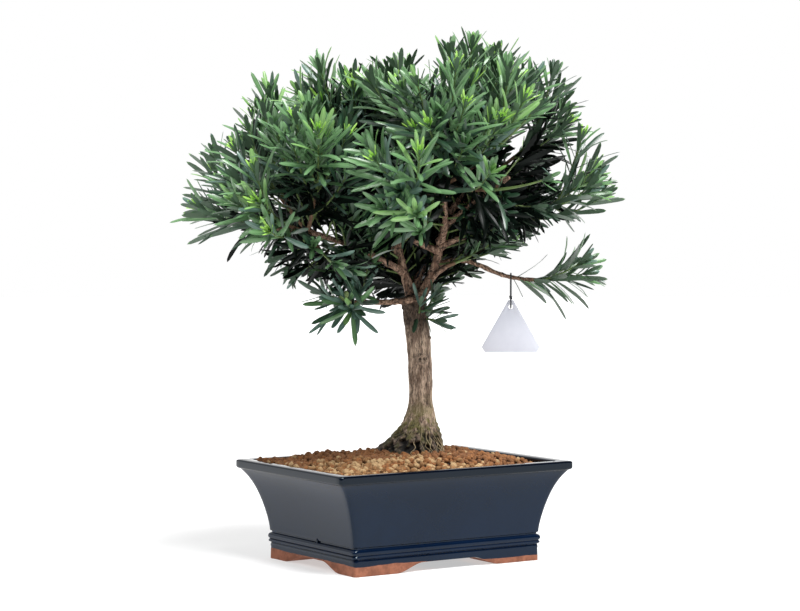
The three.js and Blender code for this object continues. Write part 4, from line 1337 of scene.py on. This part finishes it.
# One mesh of many tapering tubes: lines is a list of (line, root radius, tip radius).
def tubesFromLines(name, lines, sides=5, rings=9):
    copies = []
    for line, rootRadius, tipRadius in lines:
        path = np.array([atShare(line, i / (rings - 1))[0] for i in range(rings)])
        rows = []
        for i, (centre, (across, up)) in enumerate(zip(path, carriedFrames(path))):
            radius = rootRadius + (tipRadius - rootRadius) * i / (rings - 1)
            for side in range(sides):
                turn = 2 * math.pi * side / sides
                rows.append(centre + (across * math.cos(turn) + up * math.sin(turn)) * radius)
        copies.append(rows)
    faces = [list(range(sides))[::-1], [(rings - 1) * sides + side for side in range(sides)]]
    for row in range(rings - 1):
        for side in range(sides):
            a, b = row * sides + side, row * sides + (side + 1) % sides
            faces.append([a, b, b + sides, a + sides])
    return meshFromCopies(name, np.array(copies), faces, sharpAngle=75)


def cutLine(line, low, high, count=9):
    return np.array([atShare(line, low + (high - low) * i / (count - 1))[0] for i in range(count)])


# Lengths below which a mass is small, has less woody stem, or is leafy from nearer its foot, the
# height below which its end counts as low, and how large a small mass's leaves are.
massKinds = {"small": 40, "woody": 60, "leafyFrom": 70, "lowEnd": 300, "smallSize": 0.62}
taggedLook = {"tone": 0.74, "sheenShare": 0.12, "sides": 2, "from": 0.815}
trunkShoot = {
    "tone": 0.6, "count": 4, "at": 0.1, "turn": 60, "step": 105, "spread": 55, "length": 19, "lift": 0.5,
}
# the inner shoots' low tones are painted shade
innerLook = {"seed": 77, "first": 0.12, "tone": (-0.1, 0.34), "sheenShare": (0.1, 0.4), "size": 0.9}


# Deals out every leaf by its tone, and lists the brown and the green stems.
def growFoliage():
    dealt = {tone: [] for tone in leafTones}
    brown, green = [], []
    stem, side, tip = (shoots[kind + "Radius"] for kind in ("stem", "side", "tip"))
    for index, mass in enumerate(masses):
        random = makeRandom(mass["seed"])
        isSmall = mass["length"] < massKinds["small"]
        onTrunk, isTagged = mass["bough"] == "trunk", mass["name"] == "tagged"
        sides = [] if isSmall else sideShoots(index, mass, random)
        if isTagged:
            sides = sides[:taggedLook["sides"]]
        if onTrunk:
            at, first, step, *form = (
                trunkShoot[key] for key in ("at", "turn", "step", "spread", "length", "lift")
            )
            sides = [
                growShoot(mass["stem"], at, first + step * i, *form) for i in range(trunkShoot["count"])
            ]
        endsLow = mass["end"][2] < massKinds["lowEnd"]
        woody = 0.45 if mass["length"] > massKinds["woody"] else 0.15
        brown.append((cutLine(mass["stem"], 0, woody + 0.04), stem + 0.4, stem))
        green.append((cutLine(mass["stem"], woody, 1), stem, tip))
        green += [(line, side, tip) for line in sides]
        for number, line in enumerate([mass["stem"]] + sides):
            tone = trunkShoot["tone"] if onTrunk else random(0.42, 1.06)
            # low masses get more of the painted grey-blue sheen
            sheenShare = random(0.5, 1.0) if endsLow else random(0.02, 0.32)
            if isTagged:
                tone, sheenShare = taggedLook["tone"], taggedLook["sheenShare"]
            isLime = random() < (0 if mass["isLow"] else 0.12 if endsLow else 0.3)
            first = 0.1 if number or mass["length"] < massKinds["leafyFrom"] else 0.2
            size = massKinds["smallSize"] if isSmall else 1.0
            leavesOn(line, first, tone, sheenShare, isLime, random, dealt, size, mass["isLow"])
    random = makeRandom(innerLook["seed"])
    for line in innerShoots():
        green.append((line, side, tip))
        tone, sheenShare = random(*innerLook["tone"]), random(*innerLook["sheenShare"])
        leavesOn(line, innerLook["first"], tone, sheenShare, False, random, dealt, innerLook["size"])
    outerTagged = cutLine(paths["tagged"], taggedLook["from"], 1)
    leavesOn(outerTagged, 0.0, taggedLook["tone"], taggedLook["sheenShare"], False, random, dealt, 1.0, True)
    return dealt, brown, green


def leafMaterial(name, color, second, specular):
    return mottledMaterial(name, color, second, *leafLook["mottle"], **{"Specular IOR Level": specular})


def addFoliage():
    dealt, brown, green = growFoliage()
    corners, faces, kinds = leafTemplate()
    replaced = [node for node in frame["nodes"] if node.startswith("foliage_")]
    underColor = leafLook["underside"]
    under = leafMaterial("leafUnderside", underColor, underColor, leafLook["specular"])
    for tone, (color, ribColor) in leafTones.items():
        mesh = meshFromCopies("leaves" + tone, bentLeaves(np.array(dealt[tone]), corners), faces, kinds)
        specular = leafLook["shadeSpecular" if tone == "Shade" else "specular"]
        blade = leafMaterial("leaf" + tone, color, ribColor, specular)
        rib = leafMaterial("midrib" + tone, ribColor, color, specular)
        materials = [blade, rib, blade if tone == "Shade" else under]
        inPlaceOf = replaced if tone == "Deep" else ()
        addPiece("leaves" + tone, mesh, materials, plantToRow, inPlaceOf)
    youngStem = mottledMaterial("youngStem", *shoots["youngLook"])
    woodyStem = mottledMaterial("woodyStem", *shoots["woodyLook"])
    addPiece("youngStems", tubesFromLines("youngStems", green), [youngStem], plantToRow)
    addPiece("woodyStems", tubesFromLines("woodyStems", brown, 7), [woodyStem], plantToRow)
    print("foliage done,", sum(len(rows) for rows in dealt.values()), "leaves on", len(green), "shoots")


buds = {
    "size": (2.7, 2.7, 3.4), "places": [(-3.5, -4, 5), (3, -5, 1), (0.5, -2, 8.5)], "uneven": 0.12,
    "look": (srgb(186, 208, 140), srgb(140, 168, 96), 300.0, 0.6, 0.2, 0.5),
}


# Round pale buds in the lowest rosette on the left.
def addBuds():
    rosette = next(mass for mass in masses if mass["name"] == "low_left")["end"]
    bm = bmesh.new()
    for place in buds["places"]:
        shape = Matrix.Translation(Vector(rosette) + Vector(place)) @ Matrix.Diagonal((*buds["size"], 1))
        bmesh.ops.create_icosphere(bm, subdivisions=3, radius=1, matrix=shape)
    for vert in bm.verts:
        vert.co += Vector((1, 1, 1)) * buds["uneven"] * noise.noise(vert.co / 1.5)
    addSolid("roundBuds", bm, 80, mottledMaterial("paleBud", *buds["look"]), plantToRow)


tag = {
    "width": 56.5, "height": 50.5, "thickness": 1.2, "corner": 5, "hole": 2.2, "holeDrop": 6.5,
    "hang": 30, "at": 0.8, "edge": 0.25,
    "look": (srgb(220, 222, 233), srgb(210, 213, 225), 30.0, 0.5, 0.01, 0.3),
    "glow": {"Subsurface Weight": 0.3, "Subsurface Radius": (1, 1, 1), "Subsurface Scale": 0.003},
}
tie = {
    "radius": 0.7, "boughRadius": 2.5, "slack": 0.3, "steps": 60, "sides": 8,
    "knotUp": 9, "knot": (1.1, 2.6, 2.4), "knotSteps": 28, "knotTurns": 2.5,
    "look": (srgb(36, 38, 42), srgb(70, 72, 78), 900.0, 0.5, 0.3, 0.55),
}
tagHang = atShare(paths["tagged"], tag["at"])[0]


# A bare white card with its corners cut and a small hole, hung on a dark loop.
def addTag():
    half, tall, cut = tag["width"] / 2, tag["height"], tag["corner"]
    outline = [(-cut / 2, 0), (-half, cut - tall), (cut * 0.6 - half, -tall)]
    outline += [(-x, z) for x, z in reversed(outline)]
    bm = bmesh.new()
    corners = [bm.verts.new((x, 0, z)) for x, z in outline]
    edges = [bm.edges.new((corners[i], corners[(i + 1) % len(corners)])) for i in range(len(corners))]
    hole = Matrix.Translation((0, 0, -tag["holeDrop"])) @ Matrix.Rotation(math.pi / 2, 4, "X")
    circle = bmesh.ops.create_circle(bm, cap_ends=False, radius=tag["hole"], segments=28, matrix=hole)
    ring = circle["verts"]
    edges += list({edge for vert in ring for edge in vert.link_edges})
    bmesh.ops.triangle_fill(bm, edges=edges, use_beauty=True, use_dissolve=False)
    back = bmesh.ops.extrude_face_region(bm, geom=bm.faces[:])["geom"]
    moved = [part for part in back if isinstance(part, bmesh.types.BMVert)]
    bmesh.ops.translate(bm, verts=moved, vec=(0, tag["thickness"], 0))
    bmesh.ops.translate(bm, verts=bm.verts[:], vec=(0, -tag["thickness"] / 2, 0))
    bmesh.ops.recalc_face_normals(bm, faces=bm.faces)
    rims = [edge for edge in bm.edges if len(edge.link_faces) == 2 and edge.calc_face_angle() > 1]
    roundEdges(bm, rims, tag["edge"])
    top = tagHang[2] - tag["hang"] + tie["radius"] * 2 + tag["holeDrop"] - 0.2
    bmesh.ops.translate(bm, verts=bm.verts[:], vec=(tagHang[0], tagHang[1], top))
    card = mottledMaterial("laminatedCard", *tag["look"], **tag["glow"])
    addSolid("bareTag", bm, 30, card, plantToRow, ["tag"])
    addTie()
    print("tag done")


# A dark cord over the bough and through the card's hole, knotted above the card.
def addTie():
    half = tie["boughRadius"] + tie["slack"] + tie["radius"]
    top, bottom = tagHang[2] + half, tagHang[2] - tag["hang"]
    line = []
    for i in range(tie["steps"]):
        turn = 2 * math.pi * i / tie["steps"]
        up = math.sin(turn)
        centreZ, wide = (top - half, 1) if up > 0 else (bottom + half, 0.9)
        line.append((tagHang[0], tagHang[1] + half * wide * math.cos(turn), centreZ + half * up))
    bm = bmesh.new()
    sweep(bm, np.array(line), tie["sides"], lambda i, angle: (tie["radius"], 0), closed=True)
    knotFoot = tagHang + np.array((0, 0, tie["knotUp"] - tag["hang"]))
    wideX, wideY, tall = tie["knot"]
    coil = []
    for i, turn in enumerate(np.linspace(0, 2 * math.pi * tie["knotTurns"], tie["knotSteps"])):
        rise = tall * i / tie["knotSteps"]
        coil.append(knotFoot + np.array((wideX * math.cos(turn), wideY * math.sin(turn), rise)))
    sweep(bm, np.array(coil), tie["sides"], lambda i, angle: (tie["radius"] * 0.8, 0))
    addSolid("tagLoop", bm, 70, mottledMaterial("darkTie", *tie["look"]), plantToRow, ["tag_tie"])


addCamera()
addLights()
addStage()
addPot()
addSoil()
addTrunk()
addLimbs()
addRootlets()
addFoliage()
addBuds()
addTag()
